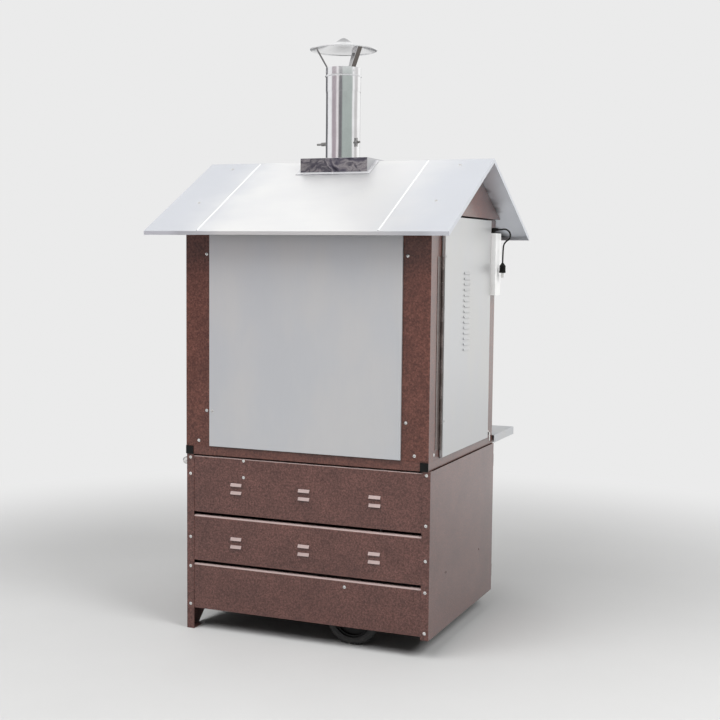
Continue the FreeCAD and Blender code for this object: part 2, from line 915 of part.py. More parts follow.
def roof_sheet(x0, x1):
    solids = [roof_band(roof_half_depth, 0, sheet_drop, x0, x1)]
    for y_side in (-1, 1):
        y0, y1 = sorted((y_side * roof_half_depth, y_side * (roof_half_depth - sheet)))
        solids.append(box(x0, x1, y0, y1, eave_top - eave_flange, eave_top))
    return join(solids)


def roof_left():
    rake = roof_band(roof_half_depth - sheet, sheet_drop / 2, rake_flange, roof_left_x, roof_left_x + sheet)
    return join([roof_sheet(roof_left_x, seam_left), rake])


def roof_right():
    rake = roof_band(roof_half_depth - sheet, sheet_drop / 2, rake_flange, roof_right_x - sheet,
                     roof_right_x)
    return join([roof_sheet(seam_right, roof_right_x), rake])


def roof_middle():
    hole = rod(V(flue_x, 0, eave_top), V(flue_x, 0, ridge_z + sheet), flue_radius + 4 * sheet)
    return roof_sheet(seam_left, seam_right).cut(hole)


def roof_frame():
    half = half_depth - sheet
    left = body_left + sheet
    right = body_right - sheet
    bar_drop = sheet_drop + roof_bar / math.cos(math.radians(roof_angle))
    starts = [left, flue_x - trimmer_spacing / 2, flue_x + trimmer_spacing / 2 - roof_bar, right - roof_bar]
    bars = [roof_band(half, sheet_drop, bar_drop, x, x + roof_bar) for x in starts]
    plate_high = post_top
    for y_side in (-1, 1):
        y0, y1 = sorted((y_side * half, y_side * (half - roof_bar)))
        bars.append(box(left, right, y0, y1, plate_high - roof_bar, plate_high))
    ridge_high = roof_height(roof_bar / 2, sheet_drop)
    for x0, x1 in ((left, starts[1]), (starts[2] + roof_bar, right)):
        bars.append(box(x0, x1, -roof_bar / 2, roof_bar / 2, ridge_high - roof_bar, ridge_high))
    return join(bars)


def gable(x_inside, x_face):
    def triangle(low, drop, x0, x1):
        reach = (ridge_z - drop - low) / roof_slope
        return slab_x([(-reach, low), (0, roof_height(0, drop)), (reach, low)], x0, x1)
    drop = sheet_drop + gable_gap
    skin = sheet / math.cos(math.radians(roof_angle))
    inner_face = x_face - sheet if x_face > x_inside else x_face + sheet
    board = triangle(gable_bottom, drop, min(x_inside, x_face), max(x_inside, x_face))
    hollow = triangle(gable_bottom + sheet, drop + skin, min(x_inside, inner_face), max(x_inside,
                                                                                        inner_face))
    return board.cut(hollow)


def gables():
    right = gable(body_right - sheet, body_right + gable_proud)
    left = gable(body_left + sheet, body_left - gable_proud)
    return group([right, left])


# Flue: flashing box, pipe, damper, collar, straps and rain cap

def flashing_box():
    def prism(half_y, half_x, top, lift):
        low = roof_height(half_y) + lift
        points = [(-half_y, low), (-half_y, top), (half_y, top), (half_y, low), (0, ridge_z + lift)]
        return slab_x(points, flue_x - half_x, flue_x + half_x)
    half_x = flashing_width / 2
    outer = prism(flashing_half_depth, half_x, flashing_top, 0)
    inner = prism(flashing_half_depth - sheet, half_x - sheet, flashing_top - sheet, 0)
    flange = roof_band(flashing_half_depth + flashing_flange, -sheet_drop, 0,
                       flue_x - half_x - flashing_flange, flue_x + half_x + flashing_flange)
    hole = rod(V(flue_x, 0, eave_top), V(flue_x, 0, flashing_top), flue_radius + flue_gap)
    return outer.fuse(flange).cut([inner, hole]).removeSplitter()


def flue_pipe():
    pipe = ring(V(flue_x, 0, liner_top), V(flue_x, 0, flue_top), flue_radius, flue_radius - flue_wall)
    reach = shaft_axis * (2 * flue_radius)
    centre = V(flue_x, 0, damper_z)
    return pipe.cut(rod(centre - reach, centre + reach, shaft_radius + running_clearance))


def cap_collar():
    inner = flue_radius + flue_gap
    sleeve = ring(V(flue_x, 0, collar_low), V(flue_x, 0, collar_top), inner + collar_wall, inner)
    bead = Part.makeTorus(inner + collar_wall, bead_radius, V(flue_x, 0, bead_z), V(0, 0, 1))
    hollow = rod(V(flue_x, 0, collar_low), V(flue_x, 0, collar_top), inner)
    return sleeve.fuse(bead).cut(hollow)


brim_slope = (cone_height - crown_rise) / (cone_radius - crown_radius)
brim_drop = cone_wall * math.sqrt(1 + brim_slope ** 2)
crown_slope = crown_rise / crown_radius
crown_drop = cone_wall * math.sqrt(1 + crown_slope ** 2)


def brim_z(radius):
    return cone_rim_z + brim_slope * (cone_radius - radius)


def rain_cap():
    inner_radius = cone_radius - cone_wall
    inner_crown = crown_radius - (crown_drop - brim_drop) / (crown_slope - brim_slope)
    lip_z = cone_rim_z - cone_lip
    points = [(0, cone_apex_z), (crown_radius, brim_z(crown_radius)), (cone_radius, cone_rim_z),
              (cone_radius, lip_z), (inner_radius, lip_z), (inner_radius, brim_z(inner_radius) - brim_drop),
              (inner_crown, brim_z(inner_crown) - brim_drop), (0, cone_apex_z - crown_drop)]
    return turned(points, flue_axis)


def cap_straps():
    seat = brim_z(strap_head_radius) - brim_drop - soft_gap
    tail = collar_top - strap_tail
    bend = collar_top + strap_rise_gap
    corner_radius = flue_radius + flue_gap - soft_gap
    foot_out = math.sqrt(corner_radius ** 2 - (strap_width / 2) ** 2)
    foot_in = foot_out - strap_wall
    head_tip = strap_head_radius + strap_tip
    tip_seat = seat - brim_slope * strap_tip
    points = [(foot_out, tail), (foot_out, bend), (strap_head_radius, seat - strap_wall),
              (head_tip, tip_seat - strap_wall), (head_tip, tip_seat),
              (strap_head_radius - strap_wall, seat + brim_slope * strap_wall), (foot_in, bend + strap_wall),
              (foot_in, tail)]
    strap = slab_y(points, -strap_width / 2, strap_width / 2)
    straps = []
    for angle in strap_angles:
        turned_strap = strap.copy()
        turned_strap.rotate(V(0, 0, 0), V(0, 0, 1), angle)
        turned_strap.translate(flue_axis)
        straps.append(turned_strap)
    return group(straps)


def along_shaft(shape):
    shape.rotate(V(0, 0, 0), V(0, 0, 1), -flue_turn)
    shape.translate(V(flue_x, 0, damper_z))
    return shape


def damper_plate():
    disc = rod(V(0, 0, 0), V(0, damper_wall, 0), damper_radius)
    return along_shaft(disc)


def damper_shaft():
    left = -flue_radius - grip_gap - grip_length - shaft_tail
    bar = rod(V(left, 0, 0), V(flue_radius + shaft_nose, 0, 0), shaft_radius)
    grip = rod(V(-flue_radius - grip_gap - grip_length, 0, 0), V(-flue_radius - grip_gap, 0, 0),
               grip_radius)
    seat = box(-damper_radius, damper_radius, 0, shaft_radius, -shaft_radius, shaft_radius)
    return along_shaft(join([bar, grip]).cut(seat))


def wing_nut():
    x0 = flue_radius + nut_gap
    hub = rod(V(x0, 0, 0), V(x0 + nut_length, 0, 0), nut_radius)
    half = nut_length / 2
    wings = [box(x0 + half - wing_wall / 2, x0 + half + wing_wall / 2, -half, half, z0, z1)
             for z0, z1 in ((0, wing_reach), (-wing_reach, 0))]
    bore = rod(V(x0, 0, 0), V(x0 + nut_length, 0, 0), shaft_radius + running_clearance)
    return along_shaft(join([hub] + wings).cut(bore))


# Oven inside: steel liner, fire bricks, grate, hearth slab, insulation

def liner_hole_x(x0, x1, radius, y=0.0, z=spit_z):
    return rod(V(x0, y, z), V(x1, y, z), radius)


def standoff_places():
    half = standoff_spacing / 2
    return [(y, spit_z + z) for y in (-half, half) for z in (-half, half)]


def oven_liner():
    body = box(liner_left, liner_right, -liner_back, front_inside, body_floor, liner_top)
    hollow = box(liner_left + liner_wall, liner_right - liner_wall, -liner_back + liner_wall, front_inside,
                 body_floor + liner_wall, liner_top - liner_wall)
    solids = [body.cut(hollow)]
    for z, width in ((ledge_z, ledge_width), (deck_ledge_z, brick_wall / 2)):
        for x0, x1 in ((liner_left, liner_left + width), (liner_right - width, liner_right)):
            solids.append(box(x0, x1, -liner_back, front_inside - brick_front_gap, z, z + liner_wall))
    collar_in = flue_radius + flue_gap
    solids.append(ring(V(flue_x, 0, liner_top), V(flue_x, 0, liner_top + spigot_height),
                       collar_in + spigot_wall, collar_in))
    bush_start = liner_left
    solids.append(liner_hole_x(bush_start, liner_left + liner_wall + spit_bush_length, spit_bush_radius))
    smoke_hole = rod(V(flue_x, 0, liner_top - 2 * liner_wall), V(flue_x, 0, liner_top),
                     flue_radius - flue_wall)
    bush_bore = liner_hole_x(liner_left + liner_wall, liner_right, spit_radius + running_clearance)
    wall_hole = liner_hole_x(liner_right - liner_wall, liner_right, spit_radius + wall_hole_gap)
    return join(solids).cut([smoke_hole, bush_bore, wall_hole])


def fire_bricks():
    left = liner_left + liner_wall
    right = liner_right - liner_wall
    back = -liner_back + liner_wall
    front = front_inside - brick_front_gap
    high = brick_low + brick_height
    return group([box(left, left + brick_wall, back, front, brick_low, high),
                  box(right - brick_wall, right, back, front, brick_low, high),
                  box(left + brick_wall, right - brick_wall, back, back + brick_wall, brick_low, high)])


def fire_grate():
    x0 = liner_left + liner_wall + brick_wall + flat_gap
    x1 = liner_right - liner_wall - brick_wall - flat_gap
    y0 = -liner_back + liner_wall + brick_wall + flat_gap
    y1 = front_inside - brick_front_gap - flat_gap
    body = box(x0, x1, y0, y1, brick_low, brick_low + grate_height)
    pitch = grate_bar + grate_slot
    count = int((x1 - x0 - 2 * grate_rim + grate_bar) // pitch)
    start = (x0 + x1 - count * pitch + grate_bar) / 2
    middle = (y0 + y1) / 2
    slots = []
    for i in range(count):
        left = start + i * pitch
        for s0, s1 in ((y0 + grate_rim, middle - grate_rim / 2), (middle + grate_rim / 2, y1 - grate_rim)):
            slots.append(box(left, left + grate_slot, s0, s1, brick_low, brick_low + grate_height))
    return body.cut(slots)


def hearth_slab():
    return box(liner_left + liner_wall + flat_gap, liner_right - liner_wall - flat_gap,
               -liner_back + deck_back_slot,
               front_inside - deck_front_gap, deck_low, deck_low + deck_wall)


def insulation():
    low = body_floor
    back = -liner_back - insulation_wall
    left = box(liner_left - insulation_wall, liner_left - soft_gap, -liner_back,
               half_depth - sheet - soft_gap, low, liner_top)
    right = box(liner_right + soft_gap, liner_right + insulation_wall, -liner_back,
                half_depth - sheet - soft_gap, low,
                liner_top)
    rear = box(liner_left - insulation_wall, liner_right + insulation_wall, back, -liner_back - soft_gap,
               low, liner_top)
    top = box(liner_left - insulation_wall, liner_right + insulation_wall, back,
              half_depth - sheet - soft_gap,
              liner_top + soft_gap, liner_top + insulation_wall)
    spit_hole = liner_hole_x(liner_right, motor_face, spit_radius + wall_hole_gap)
    stand_holes = [liner_hole_x(liner_right, motor_face, standoff_radius + soft_gap, y, z) for y,
                   z in standoff_places()]
    flue_hole = rod(V(flue_x, 0, liner_top), V(flue_x, 0, liner_top + insulation_wall),
                    flue_radius + flue_gap + spigot_wall + soft_gap)
    return group([left, right.cut([spit_hole] + stand_holes), rear, top.cut(flue_hole)])


def ash_drawer():
    x0 = flue_x - drawer_width / 2
    x1 = flue_x + drawer_width / 2
    y1 = front_face + slide_gap
    y0 = y1 - drawer_depth
    high = drawer_low + drawer_height
    tray = box(x0, x1, y0, y1, drawer_low, high).cut(
        box(x0 + sheet, x1 - sheet, y0 + sheet, y1, drawer_low + sheet, high))
    front = box(x0 - drawer_front_lap, x1 + drawer_front_lap, y1, y1 + sheet, drawer_low,
                drawer_low + drawer_front_height)
    pull_z = drawer_low + drawer_front_height / 2
    pull = bow_pull(V(flue_x - 2 * pull_inset, y1 + sheet, pull_z), V(flue_x + 2 * pull_inset, y1 + sheet,
                                                                      pull_z))
    return join([tray, front, pull])


# Fire door and oven door, hinged on their left edges

fire_door_low = fire_low - fire_door_lap
fire_door_high = fire_low + fire_open_height + fire_door_lap
oven_door_low = oven_low - oven_door_lap
oven_door_high = oven_low + oven_open_height + oven_door_lap
fire_hinge_heights = (fire_door_low + fire_hinge_inset, fire_door_high - fire_hinge_inset)
oven_hinge_heights = (oven_door_low + door_hinge_inset, oven_door_high - door_hinge_inset)


def front_door(left, low, high, depth, heights, pull_start, pull_end):
    right = 2 * flue_x - left
    pan = pan_y(left, right, door_face_y, door_face_y + depth, low, high)
    knuckles = [moving_knuckle(left, -1, front_face, z) for z in heights]
    return join([pan, bow_pull(pull_start, pull_end)] + knuckles)


def fire_door():
    x = 2 * flue_x - fire_left - pull_inset
    y = door_face_y + fire_door_depth
    middle = (fire_door_low + fire_door_high) / 2
    return front_door(fire_left, fire_door_low, fire_door_high, fire_door_depth, fire_hinge_heights,
                      V(x, y, middle - pull_inset), V(x, y, middle + pull_inset))


def oven_door():
    x = 2 * flue_x - oven_left - pull_inset
    y = door_face_y + oven_door_depth
    middle = (oven_door_low + oven_door_high) / 2
    return front_door(oven_left, oven_door_low, oven_door_high, oven_door_depth, oven_hinge_heights,
                      V(x, y, middle - 3 * pull_inset), V(x, y, middle + 3 * pull_inset))


def hinge_pins():
    pins = [door_pin(fire_left, -1, front_face, z) for z in fire_hinge_heights]
    pins += [door_pin(oven_left, -1, front_face, z) for z in oven_hinge_heights]
    for side in (-1, 1):
        pins += [door_pin(side * door_edge_x, side, half_depth, z) for z in base_hinge_heights]
    return group(pins + [side_hinge_pin()])


# Spit, forks and the gear motor that turns it

gearbox_face = motor_face + motor_plate_wall


def spit():
    start = liner_left + liner_wall + spit_end_gap
    end = gearbox_face + gearbox_depth / 2
    bar = rod(V(start, 0, spit_z), V(end, 0, spit_z), spit_radius)

    def fork(x, way):
        hub = rod(V(x, 0, spit_z), V(x + way * fork_hub_length, 0, spit_z), fork_hub_radius)
        cross = box(min(x, x + way * 2 * prong_radius), max(x, x + way * 2 * prong_radius), -prong_radius,
                    prong_radius,
                    spit_z - prong_spread - prong_radius, spit_z + prong_spread + prong_radius)
        prongs = [rod(V(x, 0, spit_z + z), V(x + way * prong_length, 0, spit_z + z), prong_radius)
                  for z in (-prong_spread, prong_spread)]
        bore = liner_hole_x(liner_left, liner_right, spit_radius + running_clearance)
        return join([hub, cross] + prongs).cut(bore)
    half = fork_spacing / 2
    return group([bar, fork(flue_x - half, 1), fork(flue_x + half, -1)])


def motor_bracket():
    half = motor_plate_size / 2
    plate = box(motor_face, gearbox_face, -half, half, spit_z - half, spit_z + half)
    rods = [liner_hole_x(liner_right, motor_face, standoff_radius, y, z) for y, z in standoff_places()]
    hole = liner_hole_x(motor_face, gearbox_face, spit_radius + wall_hole_gap)
    return join([plate] + rods).cut(hole)


def spit_motor():
    half = gearbox_size / 2
    case = box(gearbox_face, gearbox_face + gearbox_depth, -half, half, spit_z - half, spit_z + half)
    motor_low = spit_z - half - motor_length
    motor = rod(V(gearbox_face + motor_radius, 0, motor_low), V(gearbox_face + motor_radius, 0,
                                                                spit_z - half), motor_radius)
    bore = liner_hole_x(gearbox_face, gearbox_face + gearbox_depth / 2 + spit_end_gap,
                        spit_radius + running_clearance)
    return join([case, motor]).cut(bore)


# Control box on the front right post, with its rocker switch, gland, lead and plug

box_top = box_bottom + box_height
box_far = box_y + box_width
lid_x = box_right - box_lid


rocker_x = (body_right + lid_x) / 2
rocker_axis_y = box_far - rocker_proud


def rocker_pivot(half_length, radius):
    return rod(V(rocker_x - half_length, rocker_axis_y, rocker_z), V(rocker_x + half_length, rocker_axis_y,
                                                                     rocker_z), radius)


def control_box():
    body = box(body_right, lid_x, box_y, box_far, box_bottom, box_top)
    hollow = box(body_right + box_wall, lid_x, box_y + box_wall, box_far - box_wall, box_bottom + box_wall,
                 box_top - box_wall)
    half_x = rocker_width / 2 + flat_gap
    half_z = rocker_height / 2 + flat_gap
    seat_depth = 3 * rocker_proud
    seat = box(rocker_x - half_x - box_wall, rocker_x + half_x + box_wall, box_far - seat_depth, box_far,
               rocker_z - half_z - box_wall, rocker_z + half_z + box_wall)
    slot = box(rocker_x - half_x, rocker_x + half_x, box_far - seat_depth, box_far, rocker_z - half_z,
               rocker_z + half_z)
    bore = rocker_pivot(half_x + box_wall, rocker_pin_radius + running_clearance)
    shell = join([body.cut(hollow), seat]).cut([slot, bore])
    lid = box(lid_x, box_right, box_y, box_far, box_bottom, box_top)
    return group([shell, lid])


def rocker_switch():
    half = rocker_height / 2 - rocker_play
    back = box_far - 2 * rocker_proud
    pressed = box_far + rocker_play
    outline = [(back, rocker_z - half), (pressed, rocker_z - half), (pressed, rocker_z),
               (box_far + rocker_proud, rocker_z + half), (back, rocker_z + half)]
    body = slab_x(outline, rocker_x - rocker_width / 2, rocker_x + rocker_width / 2)
    return join([body, rocker_pivot(rocker_width / 2 + box_wall, rocker_pin_radius)])


gland_x = (body_right + box_right) / 2
gland_y = box_y + gland_inset
exit_x = gland_x + gland_nose
exit_z = box_top + gland_height


def lead_gland():
    body = rod(V(gland_x, gland_y, box_top), V(gland_x, gland_y, exit_z + gland_radius / 2), gland_radius)
    nose = Part.makeCone(gland_radius - sheet, lead_radius + sheet, gland_nose, V(gland_x, gland_y, exit_z),
                         V(1, 0, 0))
    return join([body, nose])


# The lead's route from the gland out, round a loop and down to the plug
lead_points = [
    V(exit_x, gland_y, exit_z),
    V(exit_x + 10, gland_y, exit_z),
    V(exit_x + 20.3, gland_y + 0.5, exit_z + 2.2),
    V(exit_x + 33.1, gland_y + 1.5, exit_z),
    V(exit_x + 43.3, gland_y + 3, exit_z - 9.6),
    V(exit_x + 46.5, gland_y + 4.5, exit_z - 23.2),
    V(exit_x + 41.3, gland_y + 6, exit_z - 36.2),
    V(exit_x + 27.7, gland_y + 7, exit_z - 44.7),
    V(exit_x + 18.5, gland_y + 8, exit_z - 57.8),
    V(exit_x + 16.7, gland_y + 9, exit_z - 74.7),
    V(exit_x + 15.5, gland_y + 10, exit_z - 102),
    V(exit_x + 15, gland_y + 11, exit_z - 127),
]


def lead_path(points):
    edges = []
    start = points[0]
    for before, corner, after in zip(points, points[1:], points[2:]):
        back = (before - corner).normalize()
        ahead = (after - corner).normalize()
        turn = math.pi - back.getAngle(ahead)
        shorter = min((before - corner).Length, (after - corner).Length)
        cut = 0.45 * shorter
        radius = cut / math.tan(turn / 2)
        print("lead bend radius", round(radius, 1))
        enter = corner + back * cut
        leave = corner + ahead * cut
        inward = (back + ahead).normalize()
        centre_distance = radius / math.cos(turn / 2)
        middle = corner + inward * (centre_distance - radius)
        edges.append(Part.LineSegment(start, enter).toShape())
        edges.append(Part.Arc(enter, middle, leave).toShape())
        start = leave
    edges.append(Part.LineSegment(start, points[-1]).toShape())
    return Part.Wire(edges)


def lead():
    path = lead_path(lead_points)
    way = (lead_points[1] - lead_points[0]).normalize()
    section = Part.Wire(Part.makeCircle(lead_radius, lead_points[0], way))
    solid = path.makePipeShell([section], True, False)
    expected = math.pi * lead_radius ** 2 * path.Length
    print("lead length", round(path.Length, 1), "volume over section times length",
          round(solid.Volume / expected, 4))
    return solid


def plug():
    top = lead_points[-1]
    way = (lead_points[-1] - lead_points[-2]).normalize()
    neck = Part.makeCone(lead_radius + sheet, plug_radius, plug_neck, top, way)
    body_start = top + way * plug_neck
    body_end = top + way * plug_length
    body = rod(body_start, body_end, plug_radius)
    pins = [rod(body_end + V(0, y, 0) - way * sheet, body_end + V(0, y, 0) + way * plug_pin_length,
                plug_pin_radius)
            for y in (-plug_pin_spacing / 2, plug_pin_spacing / 2)]
    return join([neck, body] + pins)


# Screws with domed heads

def screw_head(point, out):
    radius = (screw_radius ** 2 + screw_height ** 2) / (2 * screw_height)
    ball = Part.makeSphere(radius, V(0, 0, screw_height - radius))
    cap = ball.common(Part.makeBox(2 * radius, 2 * radius, radius, V(-radius, -radius, 0)))
    cap.Placement = FreeCAD.Placement(point, FreeCAD.Rotation(V(0, 0, 1), out))
    return cap


def body_screws():
    back = V(0, -1, 0)
    front = V(0, 1, 0)
    right = V(1, 0, 0)
    left = V(-1, 0, 0)
    corner_x = half_width - corner_return / 2
    middle = (middle_panel_low + middle_panel_high) / 2
    shared = (base_top - screw_edge, middle, bottom_panel_high - screw_edge, bottom_panel_low + screw_edge)
    heads = []
    for x, extra in ((-corner_x, base_top - upper_screw_drop), (corner_x, top_panel_low + 2 * screw_edge)):
        heads += [screw_head(V(x, -half_depth, z), back) for z in shared + (extra,)]
    panel_screws = ((panel_screw_x, base_top - screw_edge), (panel_screw_x, base_top - upper_screw_drop),
                    (low_screw_x, bottom_panel_high - 2 * screw_edge))
    heads += [screw_head(V(x, panel_face, z), back) for x, z in panel_screws]
    panel_edge = back_panel_width / 2
    post_screws = ((panel_edge + post_screw_inset, body_floor + post_screw_low),
                   (panel_edge + post_screw_inset, body_floor + post_screw_high),
                   (panel_edge + foot_screw_inset, body_floor + post_screw_foot))
    for face_y, out in ((-half_depth, back), (half_depth, front)):
        for x, z in post_screws:
            heads += [screw_head(V(upper_x + side * x, face_y, z), out) for side in (-1, 1)]
    panel_point = V(upper_x - panel_edge + screw_edge, -half_depth - back_panel_proud,
                    body_floor + post_screw_low)
    heads.append(screw_head(panel_point, back))
    side_y = half_depth - side_screw_inset
    cover_y = cover_width / 2 - screw_edge
    for way in (-1, 1):
        foot_z = body_floor + post_screw_foot
        heads.append(screw_head(V(body_right, way * side_y, foot_z), right))
        heads.append(screw_head(V(body_left, way * side_y, foot_z), left))
        heads += [screw_head(V(body_left - cover_proud, way * cover_y, body_floor + z), left)
                  for z in (post_screw_low, post_screw_high)]
    return heads


def roof_screws():
    heads = []
    for side in (-1, 1):
        x = upper_x + side * (upper_width / 2 - sheet - roof_bar / 2)
        for y in (-roof_screw_low, -roof_screw_high, roof_screw_high, roof_screw_low):
            way = 1 if y > 0 else -1
            out = V(0, way * math.sin(math.radians(roof_angle)), math.cos(math.radians(roof_angle)))
            heads.append(screw_head(V(x, y, roof_height(y)), out))
    return heads


pieces = {
    "base_frame": base_frame(),
    "base_floor": base_floor(),
    "base_side_left": base_side_left(),
    "base_side_right": base_side_right(),
    "base_panel_top": vented_panel(top_panel_low, top_panel_high, top_panel_bend, top_vent_drop),
    "base_panel_middle": vented_panel(middle_panel_low, middle_panel_high, panel_bend, middle_vent_drop),
    "base_panel_bottom": base_panel(bottom_panel_low, bottom_panel_high, panel_bend),
    "base_door_left": base_door(-1),
    "base_door_right": base_door(1),
    "axle": axle(),
    "axle_brackets": axle_brackets(),
    "wheel_rim_back": wheel_rim(-wheel_y),
    "wheel_rim_front": wheel_rim(wheel_y),
    "wheel_tyre_back": wheel_tyre(-wheel_y),
    "wheel_tyre_front": wheel_tyre(wheel_y),
    "lift_handle": lift_handle(),
    "ring_frame": ring_frame(),
    "tube_caps": tube_caps(),
    "body_floor": body_floor_sheet(),
    "front_shelf": front_shelf(),
    "back_posts": group([post(-1, -1), post(1, -1)]),
    "front_posts": group([post(-1, 1), post(1, 1)]),
    "back_panel": back_panel(),
    "left_panel": left_panel(),
    "front_panel": front_panel(),
    "side_door": side_door(),
    "side_hinge": side_hinge(),
    "turn_latch": turn_latch(),
    "gables": gables(),
    "roof_left": roof_left(),
    "roof_middle": roof_middle(),
    "roof_right": roof_right(),
    "roof_frame": roof_frame(),
    "flashing_box": flashing_box(),
    "flue_pipe": flue_pipe(),
    "cap_collar": cap_collar(),
    "cap_straps": cap_straps(),
    "rain_cap": rain_cap(),
    "damper_plate": damper_plate(),
    "damper_shaft": damper_shaft(),
    "wing_nut": wing_nut(),
    "oven_liner": oven_liner(),
    "fire_bricks": fire_bricks(),
    "fire_grate": fire_grate(),
    "hearth_slab": hearth_slab(),
    "insulation": insulation(),
    "ash_drawer": ash_drawer(),
    "fire_door": fire_door(),
    "oven_door": oven_door(),
    "hinge_pins": hinge_pins(),
    "spit": spit(),
    "motor_bracket": motor_bracket(),
    "spit_motor": spit_motor(),
    "control_box": control_box(),
    "rocker_switch": rocker_switch(),
    "lead_gland": lead_gland(),
    "lead": lead(),
    "plug": plug(),
    "screws": group(body_screws() + roof_screws()),
}

os.makedirs("parts", exist_ok=True)
for name, shape in pieces.items():
    placed = shape.copy()
    placed.translate(-origin)
    placed.exportStep("parts/" + name + ".step")
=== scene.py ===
import json
import math
import bmesh
import bpy
from mathutils import Matrix, Vector


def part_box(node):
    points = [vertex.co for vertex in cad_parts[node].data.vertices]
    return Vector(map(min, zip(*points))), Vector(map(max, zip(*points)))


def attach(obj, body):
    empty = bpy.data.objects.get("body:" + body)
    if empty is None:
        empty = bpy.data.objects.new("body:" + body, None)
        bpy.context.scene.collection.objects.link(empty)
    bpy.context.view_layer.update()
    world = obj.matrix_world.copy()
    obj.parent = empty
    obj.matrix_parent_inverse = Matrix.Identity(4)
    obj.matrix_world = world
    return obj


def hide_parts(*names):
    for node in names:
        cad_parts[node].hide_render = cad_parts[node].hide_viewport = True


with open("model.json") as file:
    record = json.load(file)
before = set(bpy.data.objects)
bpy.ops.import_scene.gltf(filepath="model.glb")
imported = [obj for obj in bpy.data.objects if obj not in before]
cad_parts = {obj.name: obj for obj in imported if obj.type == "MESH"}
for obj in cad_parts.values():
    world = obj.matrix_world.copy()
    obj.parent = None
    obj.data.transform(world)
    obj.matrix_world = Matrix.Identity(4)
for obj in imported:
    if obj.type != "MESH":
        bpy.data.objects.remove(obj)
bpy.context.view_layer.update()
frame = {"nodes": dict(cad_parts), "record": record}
scene = bpy.context.scene
nodes = frame["nodes"]

# Metres within which points coincide, and within which they count as level with each other
tiny, close = 1e-6, 1e-4


# Camera at the photograph's standpoint
view = {
    "position": (1.8721, -4.4514, 1.3818),
    "lens": 62.89,
    "sensor": 36.0,
    "yaw": 0.392643,
    "pitch": 0.081784,
    "roll": 0.0098575,
}
toCamera = Vector((math.sin(view["yaw"]), -math.cos(view["yaw"]), 0))
imageRight = Vector((math.cos(view["yaw"]), math.sin(view["yaw"]), 0))


def makeCamera():
    ahead = -toCamera * math.cos(view["pitch"]) - Vector((0, 0, math.sin(view["pitch"])))
    up = imageRight.cross(ahead)
    c, s = math.cos(view["roll"]), math.sin(view["roll"])
    matrix = Matrix((imageRight * c + up * s, up * c - imageRight * s, -ahead)).transposed().to_4x4()
    matrix.translation = view["position"]
    camera = bpy.data.objects.new("camera", bpy.data.cameras.new("camera"))
    camera.data.lens = view["lens"]
    camera.data.sensor_width = view["sensor"]
    camera.matrix_world = matrix
    scene.collection.objects.link(camera)
    scene.camera = camera


makeCamera()
print("camera set")


def rgb(r, g, b):
    return (r, g, b, 1.0)


# Node sockets that take part in Python sums
class Wire:
    def __init__(self, finish, socket):
        self.finish = finish
        self.socket = socket

    def maths(self, operation, a, b):
        return self.finish.node("ShaderNodeMath", {"operation": operation}, {0: a, 1: b})

    def __add__(self, other):
        return self.maths("ADD", self, other)

    def __radd__(self, other):
        return self.maths("ADD", other, self)

    def __sub__(self, other):
        return self.maths("SUBTRACT", self, other)

    def __rsub__(self, other):
        return self.maths("SUBTRACT", other, self)

    def __mul__(self, other):
        return self.maths("MULTIPLY", self, other)

    def __truediv__(self, other):
        return self.maths("DIVIDE", self, other)


